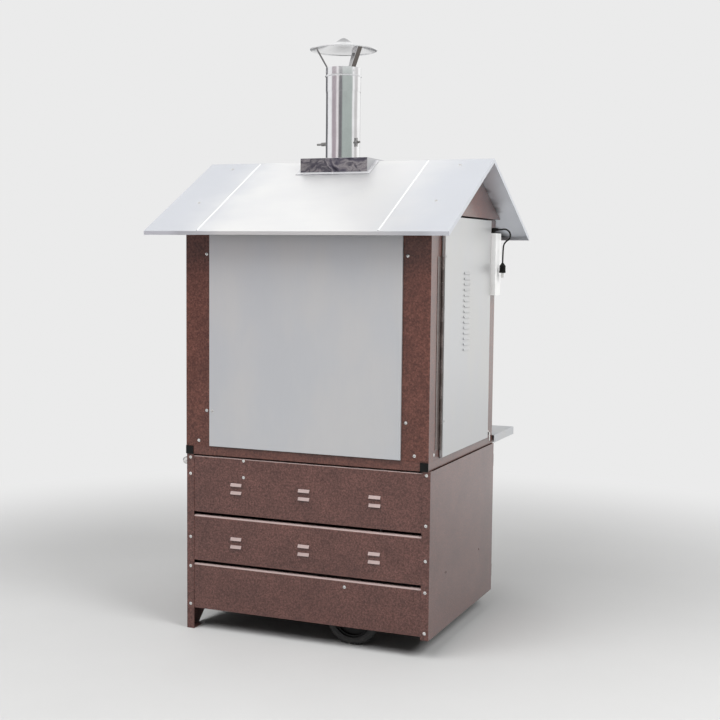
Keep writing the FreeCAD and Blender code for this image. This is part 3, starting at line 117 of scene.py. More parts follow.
# A material, or the world where its tree is given, and the nodes it is made of
class Finish:
    def __init__(self, name, tree=None):
        self.material = None
        if tree is None:
            self.material = bpy.data.materials.new(name)
            self.material.use_nodes = True
            tree = self.material.node_tree
        self.tree = tree
        self.shader = tree.nodes.get("Principled BSDF")

    def node(self, kind, settings, sockets, out=0):
        made = self.tree.nodes.new(kind)
        for key, value in settings.items():
            if key == "stops":
                elements = made.color_ramp.elements
                while len(elements) < len(value):
                    elements.new(1.0)
                for element, (place, colour) in zip(elements, value):
                    element.position = place
                    element.color = rgb(*colour)
            else:
                setattr(made, key, value)
        self.feed(made, sockets)
        return Wire(self, made.outputs[out])

    def feed(self, made, sockets):
        for key, value in sockets.items():
            if isinstance(value, Wire):
                self.tree.links.new(value.socket, made.inputs[key])
            else:
                made.inputs[key].default_value = value

    def use(self, sockets):
        self.feed(self.shader, sockets)
        return self.material

    def show(self, surface):
        self.feed(self.tree.nodes["Material Output"], {"Surface": surface})

    def place(self):
        return self.node("ShaderNodeTexCoord", {}, {}, "Object")

    def normal(self):
        return self.node("ShaderNodeNewGeometry", {}, {}, "True Normal")

    def axis(self, vector, name):
        return self.node("ShaderNodeSeparateXYZ", {}, {0: vector}, name)

    def joined(self, x, y=0.0, z=0.0):
        return self.node("ShaderNodeCombineXYZ", {}, {0: x, 1: y, 2: z})

    def vector(self, operation, a, b, out=0):
        return self.node("ShaderNodeVectorMath", {"operation": operation}, {0: a, 1: b}, out)

    def length(self, vector):
        return self.node("ShaderNodeVectorMath", {"operation": "LENGTH"}, {0: vector}, "Value")

    def noise(self, scale, detail, rough, at=None):
        sockets = {"Vector": at or self.place(), "Scale": scale, "Detail": detail, "Roughness": rough}
        return self.node("ShaderNodeTexNoise", {}, sockets, "Fac")

    def streaks(self, stretch, detail, rough):
        return self.noise(1.0, detail, rough, self.vector("MULTIPLY", self.place(), stretch))

    def cells(self, scale):
        sockets = {"Vector": self.place(), "Scale": scale}
        return self.node("ShaderNodeTexVoronoi", {"feature": "F1"}, sockets, "Distance")

    def ramp(self, value, stops):
        return self.node("ShaderNodeValToRGB", {"stops": stops}, {"Fac": value}, "Color")

    def blend(self, share, a, b):
        return self.node("ShaderNodeMix", {"data_type": "RGBA"}, {0: share, 6: a, 7: b}, 2)

    def dim(self, colour, amount):
        return self.node("ShaderNodeVectorMath", {"operation": "SCALE"}, {0: colour, "Scale": amount})

    def within(self, value, low, high):
        sockets = {"Value": value, "From Min": low, "From Max": high}
        return self.node("ShaderNodeMapRange", {"interpolation_type": "SMOOTHSTEP"}, sockets)

    def varied(self, middle, *swings):
        for wire, depth in swings:
            middle = middle + (wire - 0.5) * depth
        return middle

    def bump(self, height, strength, distance):
        return self.node("ShaderNodeBump", {}, {"Height": height, "Strength": strength, "Distance": distance})


# Paint: hammered brown enamel, mottled red over dark, with a glossy skin and a paler tint on what faces up
# that is painted highlight with a little dust
def paintFinish(name, look):
    f = Finish(name)
    mottle = f.noise(look["mottleScale"], 3.0, 0.65)
    fleck = f.noise(look["fleckScale"], 2.0, 0.6)
    cloud = f.noise(look["cloudScale"], 3.0, 0.6)
    dimple = f.cells(look["dimpleScale"])
    shades = list(zip(look["stops"], (look["dark"], look["middle"], look["light"])))
    colour = f.ramp(mottle * (1.0 - look["fleckShare"]) + fleck * look["fleckShare"], shades)
    colour = f.dim(colour, f.varied(1.0, (cloud, look["cloudDepth"])))
    # faces turned up get a paler tint: painted highlight, with a little dust
    dusty = f.within(f.axis(f.normal(), "Z"), *look["dustAndHighlightLift"]) * look["dust"]
    grain = dimple * look["dimpleShare"] + fleck * (1.0 - look["dimpleShare"])
    return f.use({
        "Base Color": f.blend(dusty, colour, rgb(*look["dustColour"])),
        "Roughness": f.varied(look["rough"], (mottle, look["roughDepth"])),
        "Normal": f.bump(grain, look["bump"], look["bumpDepth"]),
        "Coat Weight": look["coat"],
        "Coat Roughness": look["coatRough"],
        "Coat IOR": look["coatIor"],
        "Specular IOR Level": look["shine"],
    })


brownLook = {
    "dark": (0.034, 0.010, 0.007),
    "middle": (0.098, 0.033, 0.023),
    "light": (0.178, 0.070, 0.052),
    "stops": (0.34, 0.50, 0.66),
    "mottleScale": 160.0,
    "fleckScale": 520.0,
    "fleckShare": 0.35,
    "cloudScale": 9.0,
    "cloudDepth": 0.76,
    "dimpleScale": 420.0,
    "dimpleShare": 0.6,
    "rough": 0.36,
    "roughDepth": 0.25,
    "bump": 0.35,
    "bumpDepth": 0.0006,
    "coat": 1.0,
    "coatRough": 0.20,
    "coatIor": 1.3,
    "shine": 0.3,
    # dust: share of the paler tint on up-facing faces, painted highlight with a little dust
    "dust": 0.12,
    "dustAndHighlightLift": (0.15, 0.45),
    "dustColour": (0.42, 0.30, 0.275),
}
# the same brown paint as the posts, made lighter and greyer: painted sheen from the bright floor
baseSheenLook = dict(brownLook, dark=(0.040, 0.016, 0.013), middle=(0.104, 0.044, 0.036),
                light=(0.184, 0.084, 0.070))
# on the louvred base panels the paler tint on the hoods and rolled edges is painted highlight
louvreLook = dict(baseSheenLook, dust=0.85, dustColour=(0.42, 0.325, 0.31))
tubeLook = dict(brownLook, dark=(0.052, 0.018, 0.013), middle=(0.108, 0.042, 0.032), bump=0.2)
hingeLook = dict(brownLook, dark=(0.050, 0.036, 0.032), middle=(0.105, 0.082, 0.075),
                 light=(0.190, 0.155, 0.145))


# Steel sheet: rolled grain along one way, faint smears and a little waviness. The roof takes another tint
# towards its ends. Faces turned down get painted shade between the gables, and painted light in the
# overhang beyond them.
def sheetFinish(name, look):
    f = Finish(name)
    grain = f.streaks(look["grain"], 3.0, 0.6)
    smear = f.streaks(look["smear"], 3.0, 0.55)
    wave = f.noise(look["waveScale"], 1.0, 0.5)
    along = f.varied(f.axis(f.place(), "X"), (smear, look["ragged"]))
    out = f.node("ShaderNodeMath", {"operation": "ABSOLUTE"}, {0: along})
    tint = f.blend(f.within(smear, *look["smearRange"]), rgb(*look["cool"]), rgb(*look["warm"]))
    tint = f.blend(f.within(out, *look["ends"]) * look["endShare"], tint, rgb(*look["endTint"]))
    # below and inside pick the faces turned down between the gables, which get painted shade; in the overhang
    # they get painted light
    below = 1.0 - f.within(f.axis(f.normal(), "Z"), *look["lift"])
    inside = 1.0 - f.within(out, *look["gables"])
    shade = f.varied(1.0, (smear, look["smearDepth"]), (grain, look["grainDepth"]))
    shade = shade * (1.0 + below * (look["overhangPaintedLight"] - inside * (look["overhangPaintedLight"] + look["under"])))
    colour = f.dim(tint, shade)
    if look["paintedTo"]:
        across = f.axis(f.place(), "Y")
        colour = f.blend(f.within(across, *look["paintedTo"]), rgb(*hingeLook["middle"]), colour)
    return f.use({
        "Base Color": colour,
        "Metallic": look["metal"],
        "Roughness": f.varied(look["rough"], (smear, look["smearRough"]), (grain, look["grainRough"])),
        "Normal": f.bump(wave + grain * look["grainBump"], look["wave"], look["waveDepth"]),
    })


panelLook = {
    "cool": (0.566, 0.582, 0.602),
    "warm": (0.590, 0.593, 0.597),
    "grain": (900.0, 900.0, 14.0),
    "grainDepth": 0.07,
    "grainRough": 0.10,
    "grainBump": 0.03,
    "smear": (5.0, 5.0, 2.4),
    "smearRange": (0.35, 0.65),
    "smearDepth": 0.08,
    "smearRough": 0.12,
    "metal": 0.65,
    "rough": 0.43,
    "wave": 0.10,
    "waveScale": 2.2,
    "waveDepth": 0.004,
    # painted shade on faces turned down between the gables, painted light on them in the overhang
    "under": 0.7,
    "overhangPaintedLight": 0.0,
    "lift": (-0.9, -0.2),
    "gables": (0.45, 0.50),
    "ends": (0.20, 0.50),
    "endShare": 0.0,
    "endTint": (0.66, 0.68, 0.72),
    "ragged": 0.25,
    "paintedTo": None,
}
doorLook = dict(panelLook, cool=(0.550, 0.555, 0.565), warm=(0.560, 0.560, 0.555), metal=0.6, rough=0.36,
                paintedTo=(-0.3472, -0.3468))
# roof: strong painted shade under the eaves between the gables, painted light under the overhang
roofLook = dict(panelLook, cool=(0.745, 0.745, 0.750), warm=(0.762, 0.762, 0.758), grain=(14.0, 700.0, 700.0),
                grainDepth=0.06, smear=(3.0, 5.0, 5.0), metal=0.8, rough=0.40, wave=0.12, waveScale=3.0,
                under=0.95, overhangPaintedLight=0.32, lift=(-0.6, 0.2), endShare=1.0, endTint=(0.595, 0.612, 0.650))
# lap seams: the roof's steel made lighter and less metallic, a painted highlight along the seams
seamHighlightLook = dict(roofLook, cool=(0.79, 0.79, 0.795), warm=(0.80, 0.80, 0.80), metal=0.55, endShare=0.0)


# Polished tube and collar: near mirror, with faint upright drawing marks
def polishedFinish(name, look):
    f = Finish(name)
    marks = f.streaks(look["marks"], 2.0, 0.6)
    haze = f.noise(look["hazeScale"], 3.0, 0.6)
    dent = f.streaks(look["dentScale"], 1.0, 0.5)
    colour = f.blend(f.within(haze, *look["hazeRange"]), rgb(*look["clear"]), rgb(*look["hazy"]))
    return f.use({
        "Base Color": f.dim(colour, f.varied(1.0, (marks, look["markDepth"]))),
        "Metallic": 1.0,
        "Roughness": f.varied(look["rough"] + haze * look["hazeRough"], (marks, look["markRough"])),
        "Normal": f.bump(dent + marks * look["markBump"], look["dents"], look["dentDepth"]),
    })


polishedLook = {
    "clear": (0.84, 0.84, 0.85),
    "hazy": (0.76, 0.755, 0.765),
    "hazeScale": 14.0,
    "hazeRange": (0.35, 0.75),
    "hazeRough": 0.06,
    "rough": 0.10,
    "marks": (420.0, 420.0, 5.0),
    "markDepth": 0.1,
    "markRough": 0.05,
    "markBump": 0.01,
    "dents": 0.35,
    "dentScale": (14.0, 14.0, 7.0),
    "dentDepth": 0.004,
}


# Cap straps: polished, with painted shade on the faces turned to the right and the back
def strapFinish(name, look):
    f = Finish(name)
    marks = f.streaks(look["marks"], 2.0, 0.6)
    shadedFacing = f.vector("DOT_PRODUCT", f.normal(), look["side"], "Value")
    colour = f.blend(f.within(shadedFacing, *look["shadedRange"]), rgb(*look["clear"]), rgb(*look["dull"]))
    return f.use({
        "Base Color": f.dim(colour, f.varied(1.0, (marks, look["markDepth"]))),
        "Metallic": 1.0,
        "Roughness": f.varied(look["rough"], (marks, look["markRough"])),
        "Normal": f.bump(marks, look["bump"], look["bumpDepth"]),
    })


strapLook = {
    "clear": (0.74, 0.735, 0.74),
    # dull is the painted shade colour of the faces turned to the right and the back
    "dull": (0.16, 0.145, 0.135),
    "side": (0.866, -0.5, 0.0),
    "shadedRange": (0.45, 0.8),
    "rough": 0.22,
    "marks": (420.0, 420.0, 5.0),
    "markDepth": 0.2,
    "markRough": 0.08,
    "bump": 0.06,
    "bumpDepth": 0.0005,
}


# Rain cap: spinning marks in rings about its axis and a painted dark reflection on the crown
def capFinish(name, look, axis):
    f = Finish(name)
    off = f.vector("SUBTRACT", f.place(), axis)
    radius = f.length(f.vector("MULTIPLY", off, (1.0, 1.0, 0.0)))
    rings = f.noise(1.0, 2.0, 0.6, f.joined(radius * look["ringScale"]))
    spots = f.noise(look["spotScale"], 3.0, 0.6)
    above = f.within(f.axis(f.normal(), "Z"), *look["lift"])
    crown = (1.0 - f.within(radius, *look["crown"])) * above
    # the crown, where it faces up, is darkened towards dull: painted reflection
    colour = f.blend(crown * look["crownReflectionShare"], rgb(*look["clear"]), rgb(*look["dull"]))
    return f.use({
        "Base Color": f.dim(colour, f.varied(1.0, (rings, look["ringDepth"]), (spots, look["spotDepth"]))),
        "Metallic": 1.0,
        "Roughness": f.varied(look["rough"], (rings, look["ringRough"])),
        "Normal": f.bump(rings, look["bump"], look["bumpDepth"]),
    })


capLook = {
    "clear": (0.86, 0.86, 0.865),
    # dull is the colour of the painted reflection on the crown
    "dull": (0.36, 0.36, 0.37),
    "crown": (0.020, 0.060),
    "crownReflectionShare": 0.85,
    "lift": (0.0, 0.3),
    "rough": 0.20,
    "ringScale": 900.0,
    "ringDepth": 0.12,
    "ringRough": 0.10,
    "spotScale": 60.0,
    "spotDepth": 0.16,
    "bump": 0.08,
    "bumpDepth": 0.0006,
}


# Flashing box: weathered sheet, with dark bluish swirls of painted reflection on its front and back
def paintedReflectionFinish(name, look):
    f = Finish(name)
    bend = f.noise(look["bendScale"], 3.0, 0.55)
    spread = f.vector("MULTIPLY", f.place(), look["swirlScale"])
    swirl = f.noise(1.0, 3.0, 0.55, f.vector("ADD", spread, f.joined(*(bend * b for b in look["bend"]))))
    normal = f.normal()
    across, up = (f.axis(normal, axis) for axis in "YZ")
    broad = f.within(across * across, *look["broadRange"])
    return f.use({
        # front and back faces take the swirl ramp, a painted dark reflection; the other faces stay plain
        "Base Color": f.blend(broad, rgb(*look["plain"]), f.ramp(swirl, look["stops"])),
        "Metallic": 1.0 - f.within(up, *look["topRange"]) * look["weathered"],
        "Roughness": look["rough"] + swirl * look["swirlRough"] - broad * look["broadShine"],
        "Normal": f.bump(swirl, look["bump"], look["bumpDepth"]),
    })


paintedReflectionLook = {
    "plain": (0.60, 0.60, 0.615),
    "weathered": 0.4,
    "topRange": (0.4, 0.7),
    # stops: colours of the painted reflection swirls
    "stops": [(0.30, (0.045, 0.045, 0.060)), (0.42, (0.140, 0.136, 0.170)), (0.50, (0.370, 0.360, 0.370)),
              (0.57, (0.095, 0.093, 0.118)), (0.70, (0.420, 0.412, 0.410))],
    "swirlScale": (11.0, 11.0, 20.0),
    "swirlRough": 0.1,
    "bend": (4.0, 2.0, 3.0),
    "bendScale": 7.0,
    "broadRange": (0.6, 0.9),
    "broadShine": 0.28,
    "rough": 0.48,
    "bump": 0.12,
    "bumpDepth": 0.002,
}


# Bright plain steel for screws, pins, bars and the damper
def brightFinish(name, look):
    f = Finish(name)
    scratch = f.streaks(look["scratch"], 4.0, 0.7)
    spot = f.noise(look["spotScale"], 3.0, 0.6)
    return f.use({
        "Base Color": f.blend(f.within(spot, *look["spotRange"]), rgb(*look["clear"]), rgb(*look["dull"])),
        "Metallic": 1.0,
        "Roughness": f.varied(look["rough"], (spot, look["spotRough"]), (scratch, look["scratchRough"])),
        "Normal": f.bump(scratch, look["bump"], look["bumpDepth"]),
    })


brightLook = {
    "clear": (0.80, 0.79, 0.77),
    "dull": (0.66, 0.655, 0.65),
    "rough": 0.26,
    "scratch": (60.0, 900.0, 900.0),
    "scratchRough": 0.12,
    "spotScale": 45.0,
    "spotRange": (0.3, 0.7),
    "spotRough": 0.15,
    "bump": 0.08,
    "bumpDepth": 0.0004,
}
shaftLook = dict(brightLook, clear=(0.34, 0.335, 0.33), dull=(0.22, 0.215, 0.21), rough=0.34)
nutLook = dict(brightLook, clear=(0.58, 0.575, 0.57), dull=(0.44, 0.435, 0.43), rough=0.38)


# Oven inside: steel dulled by heat, with straw and blue tints and soot
def linerFinish(name, look):
    f = Finish(name)
    heat = f.noise(look["heatScale"], 4.0, 0.6)
    soot = f.noise(look["sootScale"], 4.0, 0.65)
    sooty = f.within(soot, *look["sootRange"])
    return f.use({
        "Base Color": f.blend(sooty * look["sootShare"], f.ramp(heat, look["stops"]), rgb(*look["soot"])),
        "Metallic": look["metal"] - sooty * look["sootMetal"],
        "Roughness": look["rough"] + sooty * look["sootRough"],
        "Normal": f.bump(soot, look["bump"], look["bumpDepth"]),
    })


linerLook = {
    "stops": [(0.30, (0.33, 0.31, 0.29)), (0.48, (0.36, 0.29, 0.19)), (0.58, (0.20, 0.19, 0.24)),
              (0.72, (0.30, 0.29, 0.28))],
    "heatScale": 5.0,
    "soot": (0.045, 0.042, 0.040),
    "sootScale": 13.0,
    "sootRange": (0.46, 0.68),
    "sootShare": 0.7,
    "sootMetal": 0.6,
    "sootRough": 0.3,
    "metal": 0.9,
    "rough": 0.42,
    "bump": 0.15,
    "bumpDepth": 0.001,
}


# Sandy castings, blended by patches from one colour to the other: the iron grate and the motor's case
def castFinish(name, look):
    f = Finish(name)
    sand = f.noise(look["sandScale"], 3.0, 0.7)
    patch = f.noise(look["patchScale"], look["patchDetail"], look["patchRough"])
    if look["patchRange"]:
        patch = f.within(patch, *look["patchRange"]) * look["patchShare"]
    return f.use({
        "Base Color": f.blend(patch, rgb(*look["clear"]), rgb(*look["patch"])),
        "Metallic": look["metal"],
        "Roughness": f.varied(look["rough"], (sand, look["sandRough"])),
        "Normal": f.bump(sand, look["bump"], look["bumpDepth"]),
    })


ironLook = {
    "clear": (0.030, 0.029, 0.028),
    "patch": (0.105, 0.048, 0.026),
    "patchScale": 22.0,
    "patchDetail": 4.0,
    "patchRough": 0.6,
    "patchRange": (0.52, 0.74),
    "patchShare": 0.6,
    "metal": 0.55,
    "rough": 0.58,
    "sandScale": 380.0,
    "sandRough": 0.3,
    "bump": 0.5,
    "bumpDepth": 0.0012,
}
motorLook = dict(ironLook, clear=(0.36, 0.37, 0.38), patch=(0.46, 0.47, 0.475), patchScale=18.0,
                 patchDetail=3.0, patchRough=0.5, patchRange=None, metal=0.85, rough=0.46, sandScale=520.0,
                 sandRough=0.25, bump=0.3, bumpDepth=0.0005)


# Fire clay in courses with pale joints, scorched in patches
def clayFinish(name, look):
    f = Finish(name)
    place = f.place()
    wall = f.joined(f.axis(place, "X") + f.axis(place, "Y"), f.axis(place, "Z"))
    settings = {"offset": 0.5, "squash": 1.0}
    sockets = {"Vector": wall, "Scale": 1.0, "Mortar Size": look["joint"], "Brick Width": look["long"],
               "Row Height": look["course"], "Mortar Smooth": look["jointSoft"], "Bias": 0.0}
    joint = f.node("ShaderNodeTexBrick", settings, sockets, "Fac")
    grit = f.noise(look["gritScale"], 4.0, 0.7)
    scorch = f.within(f.noise(look["scorchScale"], 4.0, 0.6), *look["scorchRange"])
    burnt = f.blend(scorch * look["scorchShare"], f.ramp(grit, look["stops"]), rgb(*look["scorch"]))
    return f.use({
        "Base Color": f.blend(joint, burnt, rgb(*look["jointColour"])),
        "Roughness": f.varied(look["rough"], (grit, look["gritRough"])),
        "Normal": f.bump(grit * look["gritBump"] - joint, look["bump"], look["bumpDepth"]),
    })


clayLook = {
    "stops": [(0.25, (0.40, 0.27, 0.16)), (0.5, (0.54, 0.39, 0.25)), (0.75, (0.66, 0.52, 0.36))],
    "gritScale": 240.0,
    "gritRough": 0.2,
    "gritBump": 0.3,
    "scorch": (0.10, 0.075, 0.055),
    "scorchScale": 9.0,
    "scorchRange": (0.45, 0.72),
    "scorchShare": 0.65,
    "joint": 0.004,
    "jointSoft": 0.3,
    "jointColour": (0.46, 0.43, 0.38),
    "long": 0.23,
    "course": 0.064,
    "rough": 0.82,
    "bump": 0.5,
    "bumpDepth": 0.0025,
}


# Hearth slab: speckled stone with a soft clouding
def stoneFinish(name, look):
    f = Finish(name)
    speck = f.noise(look["speckScale"], 3.0, 0.75)
    cloud = f.noise(look["cloudScale"], 4.0, 0.55)
    shade = f.varied(look["shade"], (cloud, look["cloudDepth"]))
    return f.use({
        "Base Color": f.dim(f.ramp(speck, look["stops"]), shade),
        "Roughness": f.varied(look["rough"], (speck, look["speckRough"])),
        "Normal": f.bump(speck, look["bump"], look["bumpDepth"]),
    })


stoneLook = {
    "stops": [(0.30, (0.20, 0.18, 0.16)), (0.48, (0.40, 0.36, 0.31)), (0.66, (0.52, 0.48, 0.42))],
    "speckScale": 310.0,
    "speckRough": 0.3,
    "shade": 0.975,
    "cloudScale": 12.0,
    "cloudDepth": 0.55,
    "rough": 0.62,
    "bump": 0.3,
    "bumpDepth": 0.0008,
}


# Insulation: matted fibres in clumps
def woolFinish(name, look):
    f = Finish(name)
    fibre = f.streaks(look["fibre"], 5.0, 0.75)
    clump = f.noise(look["clumpScale"], 3.0, 0.6)
    mat = fibre * (1.0 - look["clumpShare"]) + clump * look["clumpShare"]
    return f.use({
        "Base Color": f.ramp(mat, look["stops"]),
        "Roughness": look["rough"],
        "Normal": f.bump(fibre + clump, look["bump"], look["bumpDepth"]),
    })


woolLook = {
    "stops": [(0.3, (0.30, 0.25, 0.16)), (0.65, (0.56, 0.50, 0.37))],
    "fibre": (90.0, 900.0, 260.0),
    "clumpScale": 30.0,
    "clumpShare": 0.4,
    "rough": 0.95,
    "bump": 0.8,
    "bumpDepth": 0.004,
}


# Moulded plastics and rubbers: fine spark texture, a dusting of lighter dirt
def mouldedFinish(name, look):
    f = Finish(name)
    spark = f.noise(look["sparkScale"], 2.0, 0.6)
    dusty = f.within(f.noise(look["dustScale"], 4.0, 0.65), *look["dustRange"]) * look["dust"]
    return f.use({
        "Base Color": f.blend(dusty, rgb(*look["colour"]), rgb(*look["dustColour"])),
        "Roughness": f.varied(look["rough"], (spark, look["sparkRough"])) + dusty * look["dustRough"],
        "Specular IOR Level": look["shine"],
        "Normal": f.bump(spark, look["bump"], look["bumpDepth"]),
    })


blackLook = {
    "colour": (0.005, 0.005, 0.005),
    "dustColour": (0.03, 0.028, 0.026),
    "dust": 0.3,
    "dustScale": 26.0,
    "dustRange": (0.5, 0.8),
    "dustRough": 0.2,
    "sparkScale": 900.0,
    "sparkRough": 0.2,
    "rough": 0.45,
    "bump": 0.25,
    "bumpDepth": 0.0004,
    "shine": 0.2,
}
tyreLook = dict(blackLook, colour=(0.026, 0.0255, 0.025), dustColour=(0.09, 0.085, 0.08), dust=0.8,
                sparkScale=500.0, rough=0.75, bump=0.5, shine=0.5)
leadLook = dict(blackLook, colour=(0.010, 0.010, 0.010), dust=0.2, rough=0.5, bump=0.12)
whiteLook = dict(blackLook, colour=(0.86, 0.86, 0.85), dustColour=(0.62, 0.60, 0.56), dust=0.35, rough=0.34,
                 bump=0.1, shine=0.5)


# One finish for each material slot, and others for nodes that differ from their slot's
finishes = {
    "brown_paint": paintFinish("brownPaint", brownLook),
    "tube_paint": paintFinish("tubePaint", tubeLook),
    "panel_steel": sheetFinish("panelSteel", panelLook),
    "roof_steel": sheetFinish("roofSteel", roofLook),
    "polished_steel": polishedFinish("polishedSteel", polishedLook),
    "bright_steel": brightFinish("brightSteel", brightLook),
    "liner_steel": linerFinish("linerSteel", linerLook),
    "grate_iron": castFinish("grateIron", ironLook),
    "fire_clay": clayFinish("fireClay", clayLook),
    "hearth_stone": stoneFinish("hearthStone", stoneLook),
    "mineral_wool": woolFinish("mineralWool", woolLook),
    "motor_case": castFinish("motorCase", motorLook),
    "black_plastic": mouldedFinish("blackPlastic", blackLook),
    "tyre_rubber": mouldedFinish("tyreRubber", tyreLook),
    "lead_rubber": mouldedFinish("leadRubber", leadLook),
    "box_plastic": mouldedFinish("boxPlastic", whiteLook),
}
ownFinish = {
    "side_door": sheetFinish("doorSteel", doorLook),
    "side_hinge": paintFinish("hingePaint", hingeLook),
    "damper_shaft": brightFinish("shaftSteel", shaftLook),
    "wing_nut": brightFinish("nutSteel", nutLook),
    "flashing_box": paintedReflectionFinish("paintedReflectionSteel", paintedReflectionLook),
    "cap_straps": strapFinish("strapSteel", strapLook),
    "body_floor": finishes["brown_paint"],
}
baseSheenPaint = paintFinish("baseSheenPaint", baseSheenLook)
louvrePaint = paintFinish("louvrePaint", louvreLook)
ownFinish.update({name: baseSheenPaint for name in nodes if name.startswith(("base_side", "base_door"))})
ownFinish.update({name: louvrePaint for name in nodes if name.startswith("base_panel")})
slotOf = {part["node"]: part["material_slot"] for part in frame["record"]["subparts"]}
for name, node in nodes.items():
    node.material_slots[0].material = ownFinish.get(name) or finishes[slotOf[name]]
print("finishes:", len(finishes) + len(ownFinish))


# Folded sheet and tube edges get a small round, on the CAD nodes themselves
edges = {
    "base_side_left": 0.0012, "base_side_right": 0.0012, "base_door_left": 0.0008, "base_door_right": 0.0008,
    "front_shelf": 0.0006, "back_posts": 0.0008, "front_posts": 0.0008, "back_panel": 0.0009,
    "left_panel": 0.0009, "gables": 0.0008, "roof_left": 0.0008, "roof_middle": 0.0008, "roof_right": 0.0008,
    "flashing_box": 0.0009, "cap_collar": 0.0005, "cap_straps": 0.0005, "wing_nut": 0.0012,
    "fire_door": 0.0009, "oven_door": 0.0009, "ash_drawer": 0.0006, "hearth_slab": 0.0030, "spit": 0.0005,
    "spit_motor": 0.0020, "motor_bracket": 0.0008, "rocker_switch": 0.0006, "turn_latch": 0.0008,
    "lift_handle": 0.0008, "wheel_rim_back": 0.0015, "wheel_rim_front": 0.0015, "axle_brackets": 0.0010,
}
rounding = {"weld": 0.000002, "flatWithin": 0.4, "segments": 2, "sharperThan": 40, "normalWeight": 80}


def roundEdges(node, width):
    weld = node.modifiers.new("weld", "WELD")
    weld.merge_threshold = rounding["weld"]
    plain = node.modifiers.new("plain", "DECIMATE")
    plain.decimate_type = "DISSOLVE"
    plain.angle_limit = math.radians(rounding["flatWithin"])
    bevel = node.modifiers.new("round", "BEVEL")
    bevel.width = width
    bevel.segments = rounding["segments"]
    bevel.limit_method = "ANGLE"
    bevel.angle_limit = math.radians(rounding["sharperThan"])
    bevel.miter_outer = "MITER_ARC"
    normals = node.modifiers.new("normals", "WEIGHTED_NORMAL")
    normals.weight = rounding["normalWeight"]


for name, width in edges.items():
    roundEdges(nodes[name], width)
print("rounded edges on", len(edges), "nodes")


# A profile of radii and heights turned about an axis. A radius of zero closes the shape there.
def turn(bm, profile, steps, place, shape=None):
    rings = []
    for row, (radius, height) in enumerate(profile):
        if radius < tiny:
            rings.append([bm.verts.new(place @ Vector((0, 0, height)))])
            continue
        ring = []
        for i in range(steps):
            angle = 2 * math.pi * i / steps
            r = radius + (shape(row, i) if shape else 0.0)
            ring.append(bm.verts.new(place @ Vector((r * math.cos(angle), r * math.sin(angle), height))))
        rings.append(ring)
    for low, high in zip(rings, rings[1:]):
        for i in range(steps):
            j = (i + 1) % steps
            corners = [low[i % len(low)], low[j % len(low)], high[j % len(high)], high[i % len(high)]]
            bm.faces.new(list(dict.fromkeys(corners)))
    return rings


def facing(point, along, up=Vector((0, 0, 1))):
    z = along.normalized()
    x = up.cross(z)
    if x.length < tiny:
        x = Vector((1, 0, 0))
    x.normalize()
    matrix = Matrix((x, z.cross(x), z)).transposed().to_4x4()
    matrix.translation = point
    return matrix


def meshObject(name, bm, material):
    mesh = bpy.data.meshes.new(name)
    bm.to_mesh(mesh)
    bm.free()
    mesh.materials.append(material)
    made = bpy.data.objects.new(name, mesh)
    scene.collection.objects.link(made)
    return made


def piece(name, bm, finish, body, smooth):
    bmesh.ops.recalc_face_normals(bm, faces=bm.faces)
    made = meshObject(name, bm, finishes[finish])
    made.data.polygons.foreach_set("use_smooth", [True] * len(made.data.polygons))
    made.data.set_sharp_from_angle(angle=math.radians(smooth))
    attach(made, body)
    return made


# Lead from the gland, out and round a loose loop, down to its plug
lead = {
    "exit": (0.506, 0.2215, 1.491),
    "radius": 0.003,
    "length": 0.1751,
    "steps": [(0, 0, 0), (0.010, 0, 0), (0.0203, 0.0005, 0.0022), (0.0331, 0.0015, 0),
              (0.0433, 0.003, -0.0096), (0.0465, 0.0045, -0.0232), (0.0413, 0.006, -0.0362),
              (0.0277, 0.007, -0.0447), (0.0185, 0.008, -0.0578), (0.0167, 0.009, -0.0747),
              (0.0155, 0.010, -0.102), (0.015, 0.011, -0.127)],
    "around": 6,
    "alongStep": 10,
}


def makeLead():
    route = [Vector(lead["exit"]) + Vector(step) for step in lead["steps"]]
    curve = bpy.data.curves.new("lead", "CURVE")
    curve.dimensions = "3D"
    curve.bevel_depth = lead["radius"]
    curve.bevel_resolution = lead["around"]
    curve.resolution_u = lead["alongStep"]
    curve.use_fill_caps = True
    spline = curve.splines.new("NURBS")
    spline.points.add(len(route) - 1)
    for point, place in zip(spline.points, route):
        point.co = (*place, 1.0)
    spline.order_u = 3
    spline.use_endpoint_u = True
    curve.materials.append(finishes["lead_rubber"])
    cable = bpy.data.objects.new("lead_cable", curve)
    scene.collection.objects.link(cable)
    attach(cable, "oven")
    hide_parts("lead")
    return cable, route


# Plug: a ribbed round grip behind a plain face with two pins
plugShape = {
    "length": 0.038,
    "radius": 0.0125,
    "steps": 48,
    "neck": [(0.0, 0.0), (0.0042, 0.0), (0.0050, 0.0008), (0.0056, 0.0030), (0.0098, 0.0085),
             (0.0117, 0.0105)],
    "ribs": 5,
    "ribStart": 0.0118,
    "ribPitch": 0.0034,
    "ribEdges": (0.0016, 0.0022, 0.0028),
    "ridge": 0.0002,
    "valley": 0.0013,
    "collar": (0.0290, 0.0300, 0.0365),
    "faceRound": 0.0012,
    "pinRadius": 0.0024,
    "pinLength": 0.019,
    "pinSpacing": 0.019,
    "pinSteps": 20,
    "pinSink": 0.001,
    "tipSteps": 3,
}


